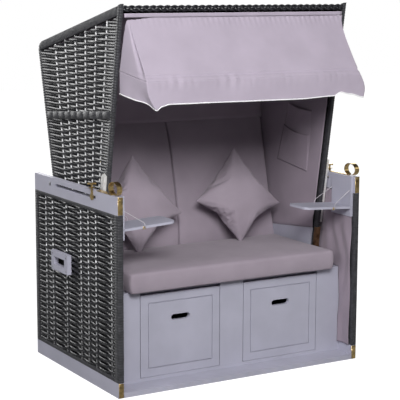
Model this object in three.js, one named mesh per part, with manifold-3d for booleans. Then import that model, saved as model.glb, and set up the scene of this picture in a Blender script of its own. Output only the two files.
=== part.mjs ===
// Hooded two-seat beach chair: a woven base with two pull-out footrests, and a hood that tips back in it.
// Millimetres, +Z up, +X to the right as seen from the front, -Y towards the viewer.
import * as THREE from 'three';
import { mergeVertices } from 'three/addons/utils/BufferGeometryUtils.js';
import Module from 'manifold-3d';

const wasm = await Module();
wasm.setup();

// Gaps between pieces
const touchGap = 0.3;
const slideGap = 1.5;
const cutOverrun = 5;

// Base box
const baseWidth = 1180;
const baseDepth = 797;
const sideHeight = 816;
const sideThickness = 24;
const plinthHeight = 62;
const armrestHeight = 73;
const basePostWidth = 30;
const baseRailHeight = 14;
const innerRailThickness = 10;
const innerRailHeight = 32;
const innerRailBelowPivot = 40;
const weaveThickness = 10;
const weaveInset = 2;
const stakeWidth = 12;
const stakeProud = 4.6;
const stakeRoot = 7;
const stakeFromPost = 38;
const stakePitch = 70;
const backHeight = 340;
const backRailSize = 24;

// Floor, footrest bay and seat
const sillHeight = 20;
const sillUnderlap = 30;
const floorThickness = 16;
const bayRecess = 98;
const stileThickness = 18;
const centreStileWidth = 115;
const outerStileWidth = 125;
const bayWallThickness = 15;
const bayWallEnd = 473;
const seatBoardThickness = 17;
const seatBoardFrontDepth = 115;
const seatBoardEnd = 523;

// Footrests
const footrestSideGap = 3;
const footrestHeight = 346;
const footrestDepth = 350;
const footrestBoard = 12;
const footrestTopThickness = 14;
const grooveInset = 34;
const grooveWidth = 4;
const grooveDepth = 4;
const gripWidth = 90;
const gripHeight = 25;
const gripDrop = 107;

// Carry handles on the sides
const handleWidth = 160;
const handleHeight = 84;
const handleThickness = 20;
const handleHoleWidth = 100;
const handleHoleHeight = 34;
const handleBehindFront = 513;
const handleLevel = 467;

// Recline slot in the armrests, its clamp and its release handle
const slotHeight = 12;
const slotBelowTop = 27;
const slotStart = 193;
const slotEnd = 585;
const notchPitch = 58;
const notchCount = 6;
const notchWidth = 9;
const notchDepth = 5;
const clampFromFront = 223;
const clampPinRadius = 5;
const clampRingRadius = 14;
const clampStrapThickness = 3.5;
const clampStrapWidth = 14;
const clampRise = 12;
const clampReach = 9;
const knobRadius = 19;
const knobInnerShare = 0.5;
const knobPoints = 5;
const knobThickness = 6;
const knobStemRadius = 4;
const knobStemHeight = 12;
const releaseWidth = 22;
const releaseStrip = 3;
const releaseLength = 190;
const loopLength = 80;
const loopHeight = 55;
const loopFromFront = 2;
const loopMouthAngle = THREE.MathUtils.degToRad(52);
const ventCount = 4;
const ventLength = 14;
const ventWidth = 8;
const ventPitch = 24;

// Tray panels, trays and the cords that hold them
const panelThickness = 12;
const panelSetback = 12;
const panelDepth = 140;
const panelHeight = 176;
const trayWidth = 236;
const trayThickness = 10;
const trayCorner = 28;
const trayBelowTop = 131;
const trayTilt = THREE.MathUtils.degToRad(3.3);
const trayHingeGap = 1;
const cordRadius = 1.2;
const cordEyeBelowTop = 60;
const cordEyeInset = 6;
const cordReach = 88;
const cordClear = 5;
const cordBend = 10;

// Hood, seen from the side
const pivotFromFront = 243;
const pivotBelowFoot = 30;
const hoodSideGap = 22;
const hoodTube = 25;
const hoodTubeWidth = 17;
const hoodFootHeight = 470;
const hoodFootBeforePivot = 4;
const hoodFootDepth = 394;
const hoodFrontHeight = 1562;
const hoodFrontLean = 183;
const hoodRearDrop = 180;
const hoodRearLean = 218;
const hoodTopRail = 38;
const hoodRearPost = 22;
const hoodMidRail = 33;
const hoodMidLevelShare = 0.582;
const hoodMidDrop = 50;
const hoodCornerRadius = 45;
const hoodWeaveInset = 4;
const hoodStakeCount = 6;
const hoodStakeStartShare = 0.13;
const hoodStakePitchShare = 0.135;
const crossStakePitch = 57;
const roofEdgeHeight = 29;
const roofEdgeDepth = 26;
const liningThickness = 4;
const liningGap = 2;
const sideBoardThickness = 12;
const sideBoardAboveFoot = 4;
const sideBoardHeight = 82;
const sideBoardRearDrop = 36;

// Pivot hardware and latch plates
const pivotPinRadius = 7;
const pivotRunningGap = 0.6;
const pivotHeadRadius = 12;
const pivotHeadThickness = 4;
const pivotFlangeRadius = 22;
const pivotEyeRadius = 15;
const strapThickness = 3;
const strapHeight = 92;
const strapLip = 12;
const latchPlateThickness = 3;
const latchPlateWidth = 46;
const latchFlangeWidth = 14;
const latchPlateAboveStrap = 10;
const latchPlateAboveSlot = 95;
const latchPlateSetback = 8;
const latchWindowHeight = 62;
const latchWindowWidth = 14;
const latchPlateClear = 1;

// Cushions
const seatSideGap = 61;
const seatThickness = 80;
const seatCrown = 10;
const seatOverhang = 50;
const seatRearGap = 2;
const backSideGap = 29;
const backThickness = 68;
const backCrown = 26;
const backSeam = 20;
const backBelowFoot = 24;
const backRise = 621;
const cushionPull = 7;
const cushionBulge = 7;
const pillowSideShare = 0.561;
const pillowThickness = 118;
const pillowSeamShare = 0.06;
const pillowRoundShare = 0.55;
const pillowPull = 26;
const pillowSpreadShare = 0.502;
const pillowFromFront = 484;
const pillowAboveSeat = 292;
const pillowLean = THREE.MathUtils.degToRad(20);

// Awning
const awningSideGap = 11;
const awningTopDrop = 50;
const awningPivotBelowTop = 262;
const awningRodRadius = 5;
const awningReach = 190;
const awningBarBelowPivot = 32;
const awningClothThickness = 3;
const awningFlapDrop = 352;
const awningClothGap = 3;
const awningRodMargin = 11;
const valanceHeight = 92;
const valanceGap = 2;
const awningBelly = 8;
const gatherCount = 9;
const gatherDepth = 3;
const valanceWaves = 7;
const valanceWaveDepth = 5;

// Side linings of the base
const baseLiningFold = 2;
const baseLiningFolds = 5;
const baseLiningDepth = 275;
const liningClear = 2;

// How finely rods are rounded and cloth is divided
const weldShare = 1e-4;
const gripSides = 6;
const cornerSides = 8;
const stemSides = 12;
const cordSides = 8;
const pillowCells = 12;
const seatCells = [20, 10, 4];
const backCells = [20, 12, 3];
const liningCells = { across: 22, down: 12 };
const awningCells = { across: 36, down: 6 };
const flapCells = { across: 5, down: 10 };
const valanceCells = { across: 42, down: 3 };

// Colours
const paint = { color: 0xb3b1bf, roughness: 0.55, metalness: 0 };
const rattan = { color: 0x26262a, roughness: 0.4, metalness: 0 };
const fabric = { color: 0x9c909d, roughness: 0.95, metalness: 0 };
const awningFabric = { color: 0xbdb2c0, roughness: 0.95, metalness: 0 };
const brass = { color: 0xb59758, roughness: 0.35, metalness: 1 };
const steel = { color: 0xd6d5d8, roughness: 0.35, metalness: 1 };
const cord = { color: 0xd0ccd4, roughness: 0.9, metalness: 0 };

// Places that follow from the sizes
const frontY = -baseDepth / 2;
const backY = baseDepth / 2;
const outerX = baseWidth / 2;
const innerX = outerX - sideThickness;
const betweenX = innerX - touchGap;
const bayY = frontY + bayRecess;
const floorBottom = sillHeight + touchGap;
const floorTop = floorBottom + floorThickness;
const footrestBottom = floorTop + slideGap;
const footrestTop = footrestBottom + footrestHeight;
const seatBoardBottom = footrestTop + slideGap;
const seatBoardTop = seatBoardBottom + seatBoardThickness;
const seatBottom = seatBoardTop + touchGap;
const pivotY = frontY + pivotFromFront;
const pivotHeight = hoodFootHeight - pivotBelowFoot;
const hoodX = innerX - hoodSideGap;
const hoodInnerX = hoodX - hoodTubeWidth;
const hoodBetweenX = hoodInnerX - touchGap;
const armrestBottom = sideHeight - armrestHeight;
const seatHalfWidth = innerX - seatSideGap;
const centreGap = centreStileWidth / 2 + footrestSideGap;
const footrestWidth = betweenX - outerStileWidth - footrestSideGap - centreGap;
const backBottom = hoodFootHeight - backBelowFoot;
const backTop = backBottom + backRise;
const strapTop = hoodFootHeight + strapHeight;
const sideBoardBottom = hoodFootHeight + sideBoardAboveFoot;
const sideBoardTop = sideBoardBottom + sideBoardHeight;
const pillowSide = hoodInnerX * pillowSideShare;
const awningHalfWidth = hoodInnerX - awningSideGap;
const awningPivotHeight = hoodFrontHeight - awningPivotBelowTop;
const awningBarLevel = awningPivotHeight - awningBarBelowPivot;

// Geometry helpers

function block(x0, x1, y0, y1, z0, z1) {
  const geometry = new THREE.BoxGeometry(x1 - x0, y1 - y0, z1 - z0);
  return geometry.translate((x0 + x1) / 2, (y0 + y1) / 2, (z0 + z1) / 2);
}

const sideView = new THREE.Matrix4().makeBasis(
  new THREE.Vector3(0, 1, 0),
  new THREE.Vector3(0, 0, 1),
  new THREE.Vector3(1, 0, 0),
);

function outline(points) {
  return new THREE.Shape(points.map(([y, z]) => new THREE.Vector2(y, z)));
}

// A shape drawn in the side view (y, z), made solid from x0 to x1
function slab(shape, x0, x1, curveSegments = 6) {
  const depth = x1 - x0;
  const geometry = new THREE.ExtrudeGeometry(shape, { depth, bevelEnabled: false, curveSegments });
  return geometry.applyMatrix4(sideView).translate(x0, 0, 0);
}

function disc(radius, x0, x1, y, z, sides = 20) {
  const geometry = new THREE.CylinderGeometry(radius, radius, x1 - x0, sides);
  return geometry.rotateZ(Math.PI / 2).translate((x0 + x1) / 2, y, z);
}

function toSolid(geometry) {
  const bare = geometry.clone();
  bare.deleteAttribute('normal');
  bare.deleteAttribute('uv');
  const merged = mergeVertices(bare, weldShare);
  return new wasm.Manifold(new wasm.Mesh({
    numProp: 3,
    vertProperties: new Float32Array(merged.attributes.position.array),
    triVerts: new Uint32Array(merged.index.array),
  }));
}

function toGeometry(solid) {
  const mesh = solid.getMesh();
  const geometry = new THREE.BufferGeometry();
  geometry.setAttribute('position', new THREE.BufferAttribute(mesh.vertProperties, 3));
  geometry.setIndex(new THREE.BufferAttribute(mesh.triVerts, 1));
  return geometry;
}

function join(...geometries) {
  return toGeometry(geometries.map(toSolid).reduce((whole, piece) => whole.add(piece)));
}

function cut(geometry, ...tools) {
  return toGeometry(tools.map(toSolid).reduce((rest, tool) => rest.subtract(tool), toSolid(geometry)));
}

function mirrored(geometry) {
  const copy = geometry.index ? geometry.toNonIndexed() : geometry.clone();
  const place = copy.attributes.position;
  for (let corner = 0; corner < place.count; corner += 3) {
    const [a, b, c] = [0, 1, 2].map((step) => new THREE.Vector3().fromBufferAttribute(place, corner + step));
    [a, c, b].forEach((point, step) => place.setXYZ(corner + step, -point.x, point.y, point.z));
  }
  copy.deleteAttribute('normal');
  return copy;
}

// A round rod through a list of points, with ball corners
function rod(points, radius, sides = 10) {
  const pieces = [];
  for (let i = 1; i < points.length; i += 1) {
    const start = points[i - 1];
    const end = points[i];
    const along = new THREE.Vector3().subVectors(end, start);
    const bar = new THREE.CylinderGeometry(radius, radius, along.length(), sides);
    const upright = new THREE.Vector3(0, 1, 0);
    bar.applyQuaternion(new THREE.Quaternion().setFromUnitVectors(upright, along.clone().normalize()));
    bar.translate((start.x + end.x) / 2, (start.y + end.y) / 2, (start.z + end.z) / 2);
    pieces.push(bar);
    if (i < points.length - 1) {
      pieces.push(new THREE.SphereGeometry(radius, sides, sides / 2).translate(end.x, end.y, end.z));
    }
  }
  return join(...pieces);
}

// The same route with each corner replaced by a short bend
function roundedRoute(points, bend) {
  const route = [points[0]];
  for (let i = 1; i < points.length - 1; i += 1) {
    const corner = points[i];
    const back = points[i - 1].clone().sub(corner).setLength(bend);
    const ahead = points[i + 1].clone().sub(corner).setLength(bend);
    const middle = back.clone().add(ahead).divideScalar(4);
    route.push(...[back, middle, ahead].map((step) => step.add(corner)));
  }
  route.push(points[points.length - 1]);
  return route;
}

// A cushion: crowned on top, flat below, with sides that swell at mid height and draw in between the corners
function cushion({ width, depth, thick, crown, seam = 0, cells }) {
  const [nx, ny, nz] = cells;
  const grid = new THREE.BoxGeometry(2, 2, 2, nx, ny, nz);
  const place = grid.attributes.position;
  for (let i = 0; i < place.count; i += 1) {
    const u = place.getX(i);
    const v = place.getY(i);
    const w = place.getZ(i);
    const swell = cushionBulge * (1 - w * w);
    const halfWidth = width / 2 - cushionBulge - cushionPull * (1 - v * v) + swell;
    const halfDepth = depth / 2 - cushionBulge - cushionPull * (1 - u * u) + swell;
    const dome = crown * (1 - u ** 4) * (1 - v ** 4);
    const valley = seam * Math.max(0, 1 - Math.abs(u) * nx / 2) * (1 - v ** 4);
    const lift = (w + 1) / 2;
    place.setXYZ(i, u * halfWidth, v * halfDepth, lift * (thick + dome - valley));
  }
  return grid;
}

// A scatter cushion: two crowned faces that meet in a thin seam, with sides drawn in between its four tips
function scatterCushion(cells) {
  const grid = new THREE.BoxGeometry(2, 2, 2, cells, cells, 1);
  const place = grid.attributes.position;
  for (let i = 0; i < place.count; i += 1) {
    const u = place.getX(i);
    const v = place.getY(i);
    const w = place.getZ(i);
    const half = pillowSide / 2;
    const x = u * (half - pillowPull * (1 - v * v));
    const y = v * (half - pillowPull * (1 - u * u));
    const fullness = ((1 - u * u) * (1 - v * v)) ** pillowRoundShare;
    const swell = pillowSeamShare + (1 - pillowSeamShare) * fullness;
    place.setXYZ(i, x, y, w * (pillowThickness / 2) * swell);
  }
  return grid;
}

// A cloth sheet of even thickness over surface(u, v), with u and v from 0 to 1
function sheet(surface, across, down, thickness) {
  const corners = [];
  const step = 1e-3;
  for (const side of [0, 1]) {
    for (let j = 0; j <= down; j += 1) {
      for (let i = 0; i <= across; i += 1) {
        const u = i / across;
        const v = j / down;
        const u0 = Math.max(0, u - step);
        const u1 = Math.min(1, u + step);
        const v0 = Math.max(0, v - step);
        const v1 = Math.min(1, v + step);
        const alongU = new THREE.Vector3().subVectors(surface(u1, v), surface(u0, v));
        const alongV = new THREE.Vector3().subVectors(surface(u, v1), surface(u, v0));
        const normal = alongU.cross(alongV).normalize();
        corners.push(surface(u, v).addScaledVector(normal, side * thickness));
      }
    }
  }
  const row = across + 1;
  const layer = row * (down + 1);
  const faces = [];
  const quad = (a, b, c, d) => faces.push(a, b, c, a, c, d);
  for (let j = 0; j < down; j += 1) {
    for (let i = 0; i < across; i += 1) {
      const a = j * row + i;
      quad(a, a + row, a + row + 1, a + 1);
      quad(layer + a, layer + a + 1, layer + a + row + 1, layer + a + row);
    }
  }
  for (let i = 0; i < across; i += 1) {
    const last = down * row + i;
    quad(i, i + 1, layer + i + 1, layer + i);
    quad(last + 1, last, layer + last, layer + last + 1);
  }
  for (let j = 0; j < down; j += 1) {
    const first = j * row;
    const end = first + across;
    quad(first + row, first, layer + first, layer + first + row);
    quad(end, end + row, layer + end + row, layer + end);
  }
  const geometry = new THREE.BufferGeometry();
  const places = corners.flatMap((corner) => corner.toArray());
  geometry.setAttribute('position', new THREE.Float32BufferAttribute(places, 3));
  geometry.setIndex(faces);
  return geometry;
}

// Scene graph helpers

const chair = new THREE.Group();

function group(parent, x = 0, y = 0, z = 0) {
  const made = new THREE.Group();
  made.position.set(x, y, z);
  parent.add(made);
  made.updateWorldMatrix(true, false);
  return made;
}

// Adds a piece whose geometry is written in the chair's own coordinates
function add(parent, name, finish, geometry) {
  const mesh = new THREE.Mesh(geometry, new THREE.MeshStandardMaterial(finish));
  mesh.name = name;
  mesh.updateWorldMatrix(true, false);
  parent.attach(mesh);
  return mesh;
}

function addPair(parents, name, finish, geometry) {
  add(parents.right, `${name}_right`, finish, geometry);
  add(parents.left, `${name}_left`, finish, mirrored(geometry));
}

const base = { right: chair, left: chair };

// Base: plinth, floor and the woven sides

function makePlinth() {
  add(chair, 'plinth_front', paint,
    block(-betweenX, betweenX, frontY, bayY + sillUnderlap, 0, sillHeight));
  add(chair, 'plinth_back', paint,
    block(-betweenX, betweenX, backY - sideThickness, backY, 0, plinthHeight));
  addPair(base, 'plinth', paint, block(innerX, outerX, frontY, backY, 0, plinthHeight));
  add(chair, 'floor_board', paint,
    block(-betweenX, betweenX, bayY, backY - sideThickness - touchGap, floorBottom, floorTop));
}

const sideFrameBottom = plinthHeight + touchGap;
const sideFrameTop = armrestBottom - touchGap;
const handleY = frontY + handleBehindFront;

function makeSideFrames() {
  const y0 = frontY + basePostWidth;
  const y1 = backY - basePostWidth;
  const z0 = sideFrameBottom + baseRailHeight;
  const z1 = sideFrameTop - baseRailHeight;
  const loop = cut(
    block(innerX, outerX, frontY, backY, sideFrameBottom, sideFrameTop),
    block(innerX - cutOverrun, outerX + cutOverrun, y0, y1, z0, z1),
  );
  const innerRailBottom = pivotHeight - innerRailBelowPivot;
  const rail = block(innerX, innerX + innerRailThickness, frontY + basePostWidth / 2,
    backY - basePostWidth / 2, innerRailBottom, innerRailBottom + innerRailHeight);
  const flangeX = hoodX + strapThickness * 2 + pivotHeadThickness;
  const flange = disc(pivotFlangeRadius, flangeX, innerX + innerRailThickness / 2, pivotY, pivotHeight);
  const pinEnd = hoodX - pivotHeadThickness;
  const pin = disc(pivotPinRadius, pinEnd, flangeX + strapThickness, pivotY, pivotHeight);
  const head = disc(pivotHeadRadius, pinEnd - pivotHeadThickness, pinEnd, pivotY, pivotHeight);
  const joined = join(loop, rail, flange, pin, head);
  addPair(base, 'base_side_frame', rattan, joined);

  const weaveOuter = outerX - weaveInset;
  const weaveInner = weaveOuter - weaveThickness;
  const woven = (x0, x1, from, to) => block(x0, x1, from, to, z0 + touchGap, z1 - touchGap);
  const stakes = [];
  for (let y = y0 + stakeFromPost; y <= y1 - stakeWidth; y += stakePitch) {
    stakes.push(woven(weaveOuter - stakeRoot, weaveOuter, y - stakeWidth / 2, y + stakeWidth / 2));
  }
  const weave = cut(
    join(woven(weaveInner, weaveOuter - stakeProud, y0 + touchGap, y1 - touchGap), ...stakes),
    handleHole(weaveInner - cutOverrun, weaveOuter + cutOverrun),
  );
  addPair(base, 'base_side_weave', rattan, weave);
}

// Middles of the stakes of a wall that runs across the chair, spread evenly over its width
function crossStakes() {
  const count = Math.round(2 * hoodBetweenX / crossStakePitch) - 1;
  return Array.from({ length: count }, (_, i) => (2 * (i + 1) / (count + 1) - 1) * hoodBetweenX);
}

function handleHole(x0, x1) {
  return block(x0, x1, handleY - handleHoleWidth / 2, handleY + handleHoleWidth / 2,
    handleLevel - handleHoleHeight / 2, handleLevel + handleHoleHeight / 2);
}

function makeCarryHandles() {
  const x0 = outerX - weaveInset + touchGap;
  const x1 = x0 + handleThickness;
  const plate = block(x0, x1, handleY - handleWidth / 2, handleY + handleWidth / 2,
    handleLevel - handleHeight / 2, handleLevel + handleHeight / 2);
  addPair(base, 'carry_handle', paint, cut(plate, handleHole(x0 - cutOverrun, x1 + cutOverrun)));
}

function makeBasePanel() {
  const y1 = backY - weaveInset;
  const railBottom = backHeight - backRailSize;
  const weaveBottom = plinthHeight + touchGap;
  const weaveTop = backHeight - backRailSize / 2;
  const weave = block(-betweenX, betweenX, y1 - weaveThickness, y1 - stakeProud, weaveBottom, weaveTop);
  const stakes = crossStakes().map((x) => block(x - stakeWidth / 2, x + stakeWidth / 2,
    y1 - stakeRoot, y1, weaveBottom, weaveTop));
  const rail = block(-betweenX, betweenX, backY - backRailSize, backY, railBottom, backHeight);
  add(chair, 'base_back_weave', rattan, join(weave, rail, ...stakes));
}

// Armrests with the recline slot and its notches

const slotLevel = sideHeight - slotBelowTop;
const clampY = frontY + clampFromFront;

function makeArmrests() {
  const x0 = innerX - cutOverrun;
  const x1 = outerX + cutOverrun;
  const slot = block(x0, x1, frontY + slotStart, frontY + slotEnd,
    slotLevel - slotHeight / 2, slotLevel + slotHeight / 2);
  const tools = [slot];
  for (let i = 0; i < notchCount; i += 1) {
    const y = clampY + i * notchPitch;
    const z = slotLevel - slotHeight / 2;
    tools.push(block(x0, x1, y - notchWidth / 2, y + notchWidth / 2, z - notchDepth, z + notchDepth));
  }
  const rail = block(innerX, outerX, frontY, backY, armrestBottom, sideHeight);
  addPair(base, 'armrest', paint, cut(rail, ...tools));
}

// Footrest bay: stiles, walls and the seat board

function makeBay() {
  const wallBottom = floorTop + touchGap;
  const wallTop = seatBoardBottom - touchGap;
  const stileBack = bayY + stileThickness;
  const bayEnd = frontY + bayWallEnd;
  const halfCentre = centreStileWidth / 2;
  const wallX = betweenX - outerStileWidth;
  add(chair, 'centre_divider', paint, join(
    block(-halfCentre, halfCentre, bayY, stileBack, wallBottom, seatBoardTop),
    block(-stileThickness / 2, stileThickness / 2, bayY + stileThickness / 2, bayEnd, wallBottom, wallTop),
  ));
  addPair(base, 'bay_stile', paint, join(
    block(wallX, betweenX, bayY, stileBack, wallBottom, seatBoardTop),
    block(wallX, wallX + bayWallThickness, bayY + stileThickness / 2, bayEnd, wallBottom, wallTop),
  ));
  const narrowX = seatHalfWidth;
  const boardStart = stileBack + touchGap;
  const wideEnd = bayY + seatBoardFrontDepth;
  add(chair, 'seat_board', paint, join(
    block(-betweenX, betweenX, boardStart, wideEnd, seatBoardBottom, seatBoardTop),
    block(-narrowX, narrowX, boardStart, frontY + seatBoardEnd, seatBoardBottom, seatBoardTop),
  ));
}

function makeFootrests() {
  const x0 = centreGap;
  const x1 = x0 + footrestWidth;
  const panelBack = bayY + stileThickness;
  const panel = block(x0, x1, bayY, panelBack, footrestBottom, footrestTop);
  const grooveCut = cut(
    block(x0 + grooveInset, x1 - grooveInset, bayY - cutOverrun, bayY + grooveDepth,
      footrestBottom + grooveInset, footrestTop - grooveInset),
    block(x0 + grooveInset + grooveWidth, x1 - grooveInset - grooveWidth,
      bayY - cutOverrun * 2, bayY + grooveDepth * 2,
      footrestBottom + grooveInset + grooveWidth, footrestTop - grooveInset - grooveWidth),
  );
  const gripLevel = footrestTop - gripDrop;
  const gripShape = new THREE.Shape();
  const halfRun = (gripWidth - gripHeight) / 2;
  gripShape.absarc(halfRun, 0, gripHeight / 2, -Math.PI / 2, Math.PI / 2);
  gripShape.absarc(-halfRun, 0, gripHeight / 2, Math.PI / 2, Math.PI * 1.5);
  const grip = new THREE.ExtrudeGeometry(gripShape, {
    depth: stileThickness + cutOverrun * 2,
    bevelEnabled: false,
    curveSegments: gripSides,
  });
  grip.rotateX(Math.PI / 2).translate((x0 + x1) / 2, panelBack + cutOverrun, gripLevel);
  const front = cut(panel, grooveCut, grip);

  const boxFront = panelBack + touchGap;
  const boxBack = bayY + footrestDepth;
  const lidBottom = footrestTop - footrestTopThickness;
  const boxTop = lidBottom - touchGap;
  const shell = cut(
    block(x0 + slideGap, x1 - slideGap, boxFront, boxBack, footrestBottom, boxTop),
    block(x0 + slideGap + footrestBoard, x1 - slideGap - footrestBoard,
      boxFront - cutOverrun, boxBack - footrestBoard, footrestBottom - cutOverrun, boxTop + cutOverrun),
  );
  const lid = block(x0 + slideGap, x1 - slideGap, boxFront, boxBack, lidBottom, footrestTop);
  const drawers = { right: group(chair), left: group(chair) };
  addPair(drawers, 'footrest_front', paint, front);
  addPair(drawers, 'footrest_box', paint, shell);
  addPair(drawers, 'footrest_top', paint, lid);
}

// Tray panels, trays and cords

const panelInnerX = innerX - touchGap - panelThickness;
const panelFront = frontY + panelSetback;
const panelBack = panelFront + panelDepth;
const trayLevel = sideHeight - trayBelowTop;

function makeTrayPanels() {
  addPair(base, 'tray_panel', paint, block(panelInnerX, innerX - touchGap,
    panelFront, panelBack, sideHeight - panelHeight, sideHeight));
}

function makeTrays() {
  const hingeX = panelInnerX - trayHingeGap;
  const board = new THREE.Shape();
  board.moveTo(0, panelFront);
  board.lineTo(0, panelBack);
  board.lineTo(-trayWidth + trayCorner, panelBack);
  board.absarc(-trayWidth + trayCorner, panelBack - trayCorner, trayCorner, Math.PI / 2, Math.PI);
  board.absarc(-trayWidth + trayCorner, panelFront + trayCorner, trayCorner, Math.PI, Math.PI * 1.5);
  const geometry = new THREE.ExtrudeGeometry(board, {
    depth: trayThickness,
    bevelEnabled: false,
    curveSegments: cornerSides,
  });
  geometry.translate(0, 0, -trayThickness);
  const right = group(chair, hingeX, 0, trayLevel);
  const left = group(chair, -hingeX, 0, trayLevel);
  for (const [side, hinge, shape, turn] of [
    ['right', right, geometry, trayTilt],
    ['left', left, mirrored(geometry), -trayTilt],
  ]) {
    const tray = new THREE.Mesh(shape, new THREE.MeshStandardMaterial(paint));
    tray.name = `tray_${side}`;
    tray.rotation.y = turn;
    hinge.add(tray);
  }
}

// One cord slings under each tray, from an eye on the panel to the eye at the panel's other end
function makeTrayCords() {
  const hingeX = panelInnerX - trayHingeGap;
  const eyeX = panelInnerX - cordRadius - touchGap;
  const eyeZ = sideHeight - cordEyeBelowTop;
  const trayX = hingeX - cordReach;
  const rise = cordReach * Math.sin(trayTilt);
  const over = trayLevel + rise + cordClear * 2;
  const under = trayLevel + rise - trayThickness - cordClear;
  const y0 = panelFront - cordClear;
  const y1 = panelBack + cordClear;
  const route = [
    new THREE.Vector3(eyeX, panelFront + cordEyeInset, eyeZ),
    new THREE.Vector3(trayX, y0, over),
    new THREE.Vector3(trayX, y0, under),
    new THREE.Vector3(trayX, y1, under),
    new THREE.Vector3(trayX, y1, over),
    new THREE.Vector3(eyeX, panelBack - cordEyeInset, eyeZ),
  ];
  addPair(base, 'tray_cord', cord, rod(roundedRoute(route, cordBend), cordRadius, cordSides));
}

// Lining of the base sides, with soft upright folds; it is cut away where the footrest bay stands against it
function makeBaseLinings() {
  const outer = innerX - touchGap;
  const thickness = liningThickness / 2;
  const y0 = frontY + basePostWidth / 2;
  const y1 = y0 + baseLiningDepth;
  const z0 = plinthHeight;
  const z1 = armrestBottom - liningGap;
  const surface = (u, v) => {
    const fold = Math.sin(u * baseLiningFolds * 2 * Math.PI) * Math.sin(v * Math.PI) * baseLiningFold;
    const x = outer - thickness - baseLiningFold - fold;
    return new THREE.Vector3(x, y0 + (y1 - y0) * u, z0 + (z1 - z0) * v);
  };
  const bay = block(0, outerX, bayY - liningGap, backY, 0, seatBoardTop + liningGap);
  const panel = block(0, outerX, frontY, panelBack + liningClear,
    sideHeight - panelHeight - liningClear, sideHeight);
  const flange = disc(pivotFlangeRadius + liningClear, hoodX, outerX, pivotY, pivotHeight);
  const cloth = sheet(surface, liningCells.across, liningCells.down, thickness);
  addPair(base, 'base_side_lining', fabric, cut(cloth, bay, panel, flange));
}

// Hood: four outer edges seen from the side, and points measured inwards from them

const hoodFootY = pivotY - hoodFootBeforePivot;
const hoodCorners = [
  new THREE.Vector2(hoodFootY, hoodFootHeight),
  new THREE.Vector2(hoodFootY - hoodFrontLean, hoodFrontHeight),
  new THREE.Vector2(hoodFootY + hoodFootDepth + hoodRearLean, hoodFrontHeight - hoodRearDrop),
  new THREE.Vector2(hoodFootY + hoodFootDepth, hoodFootHeight),
];
const [FRONT, ROOF, BACK, FOOT] = ['front', 'roof', 'back', 'foot'].keys();

function edgeLine(edge, inset) {
  const start = hoodCorners[edge];
  const along = new THREE.Vector2().subVectors(hoodCorners[(edge + 1) % 4], start).normalize();
  const inward = new THREE.Vector2(along.y, -along.x);
  return { start: start.clone().addScaledVector(inward, inset), along };
}

// Where two edges of the hood meet, each moved inwards by its own distance
function meet(edgeA, insetA, edgeB, insetB) {
  const a = edgeLine(edgeA, insetA);
  const b = edgeLine(edgeB, insetB);
  const gap = new THREE.Vector2().subVectors(b.start, a.start);
  const reach = gap.cross(b.along) / a.along.cross(b.along);
  const point = a.start.clone().addScaledVector(a.along, reach);
  return [point.x, point.y];
}

// The place along one edge, moved inwards, at a given height
function atHeight(edge, inset, z) {
  const line = edgeLine(edge, inset);
  const reach = (z - line.start.y) / line.along.y;
  return [line.start.x + line.along.x * reach, z];
}

const hood = group(chair, 0, pivotY, pivotHeight);
const hoodSides = { right: hood, left: hood };
const midFront = hoodFootHeight + (hoodFrontHeight - hoodFootHeight) * hoodMidLevelShare;

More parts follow.
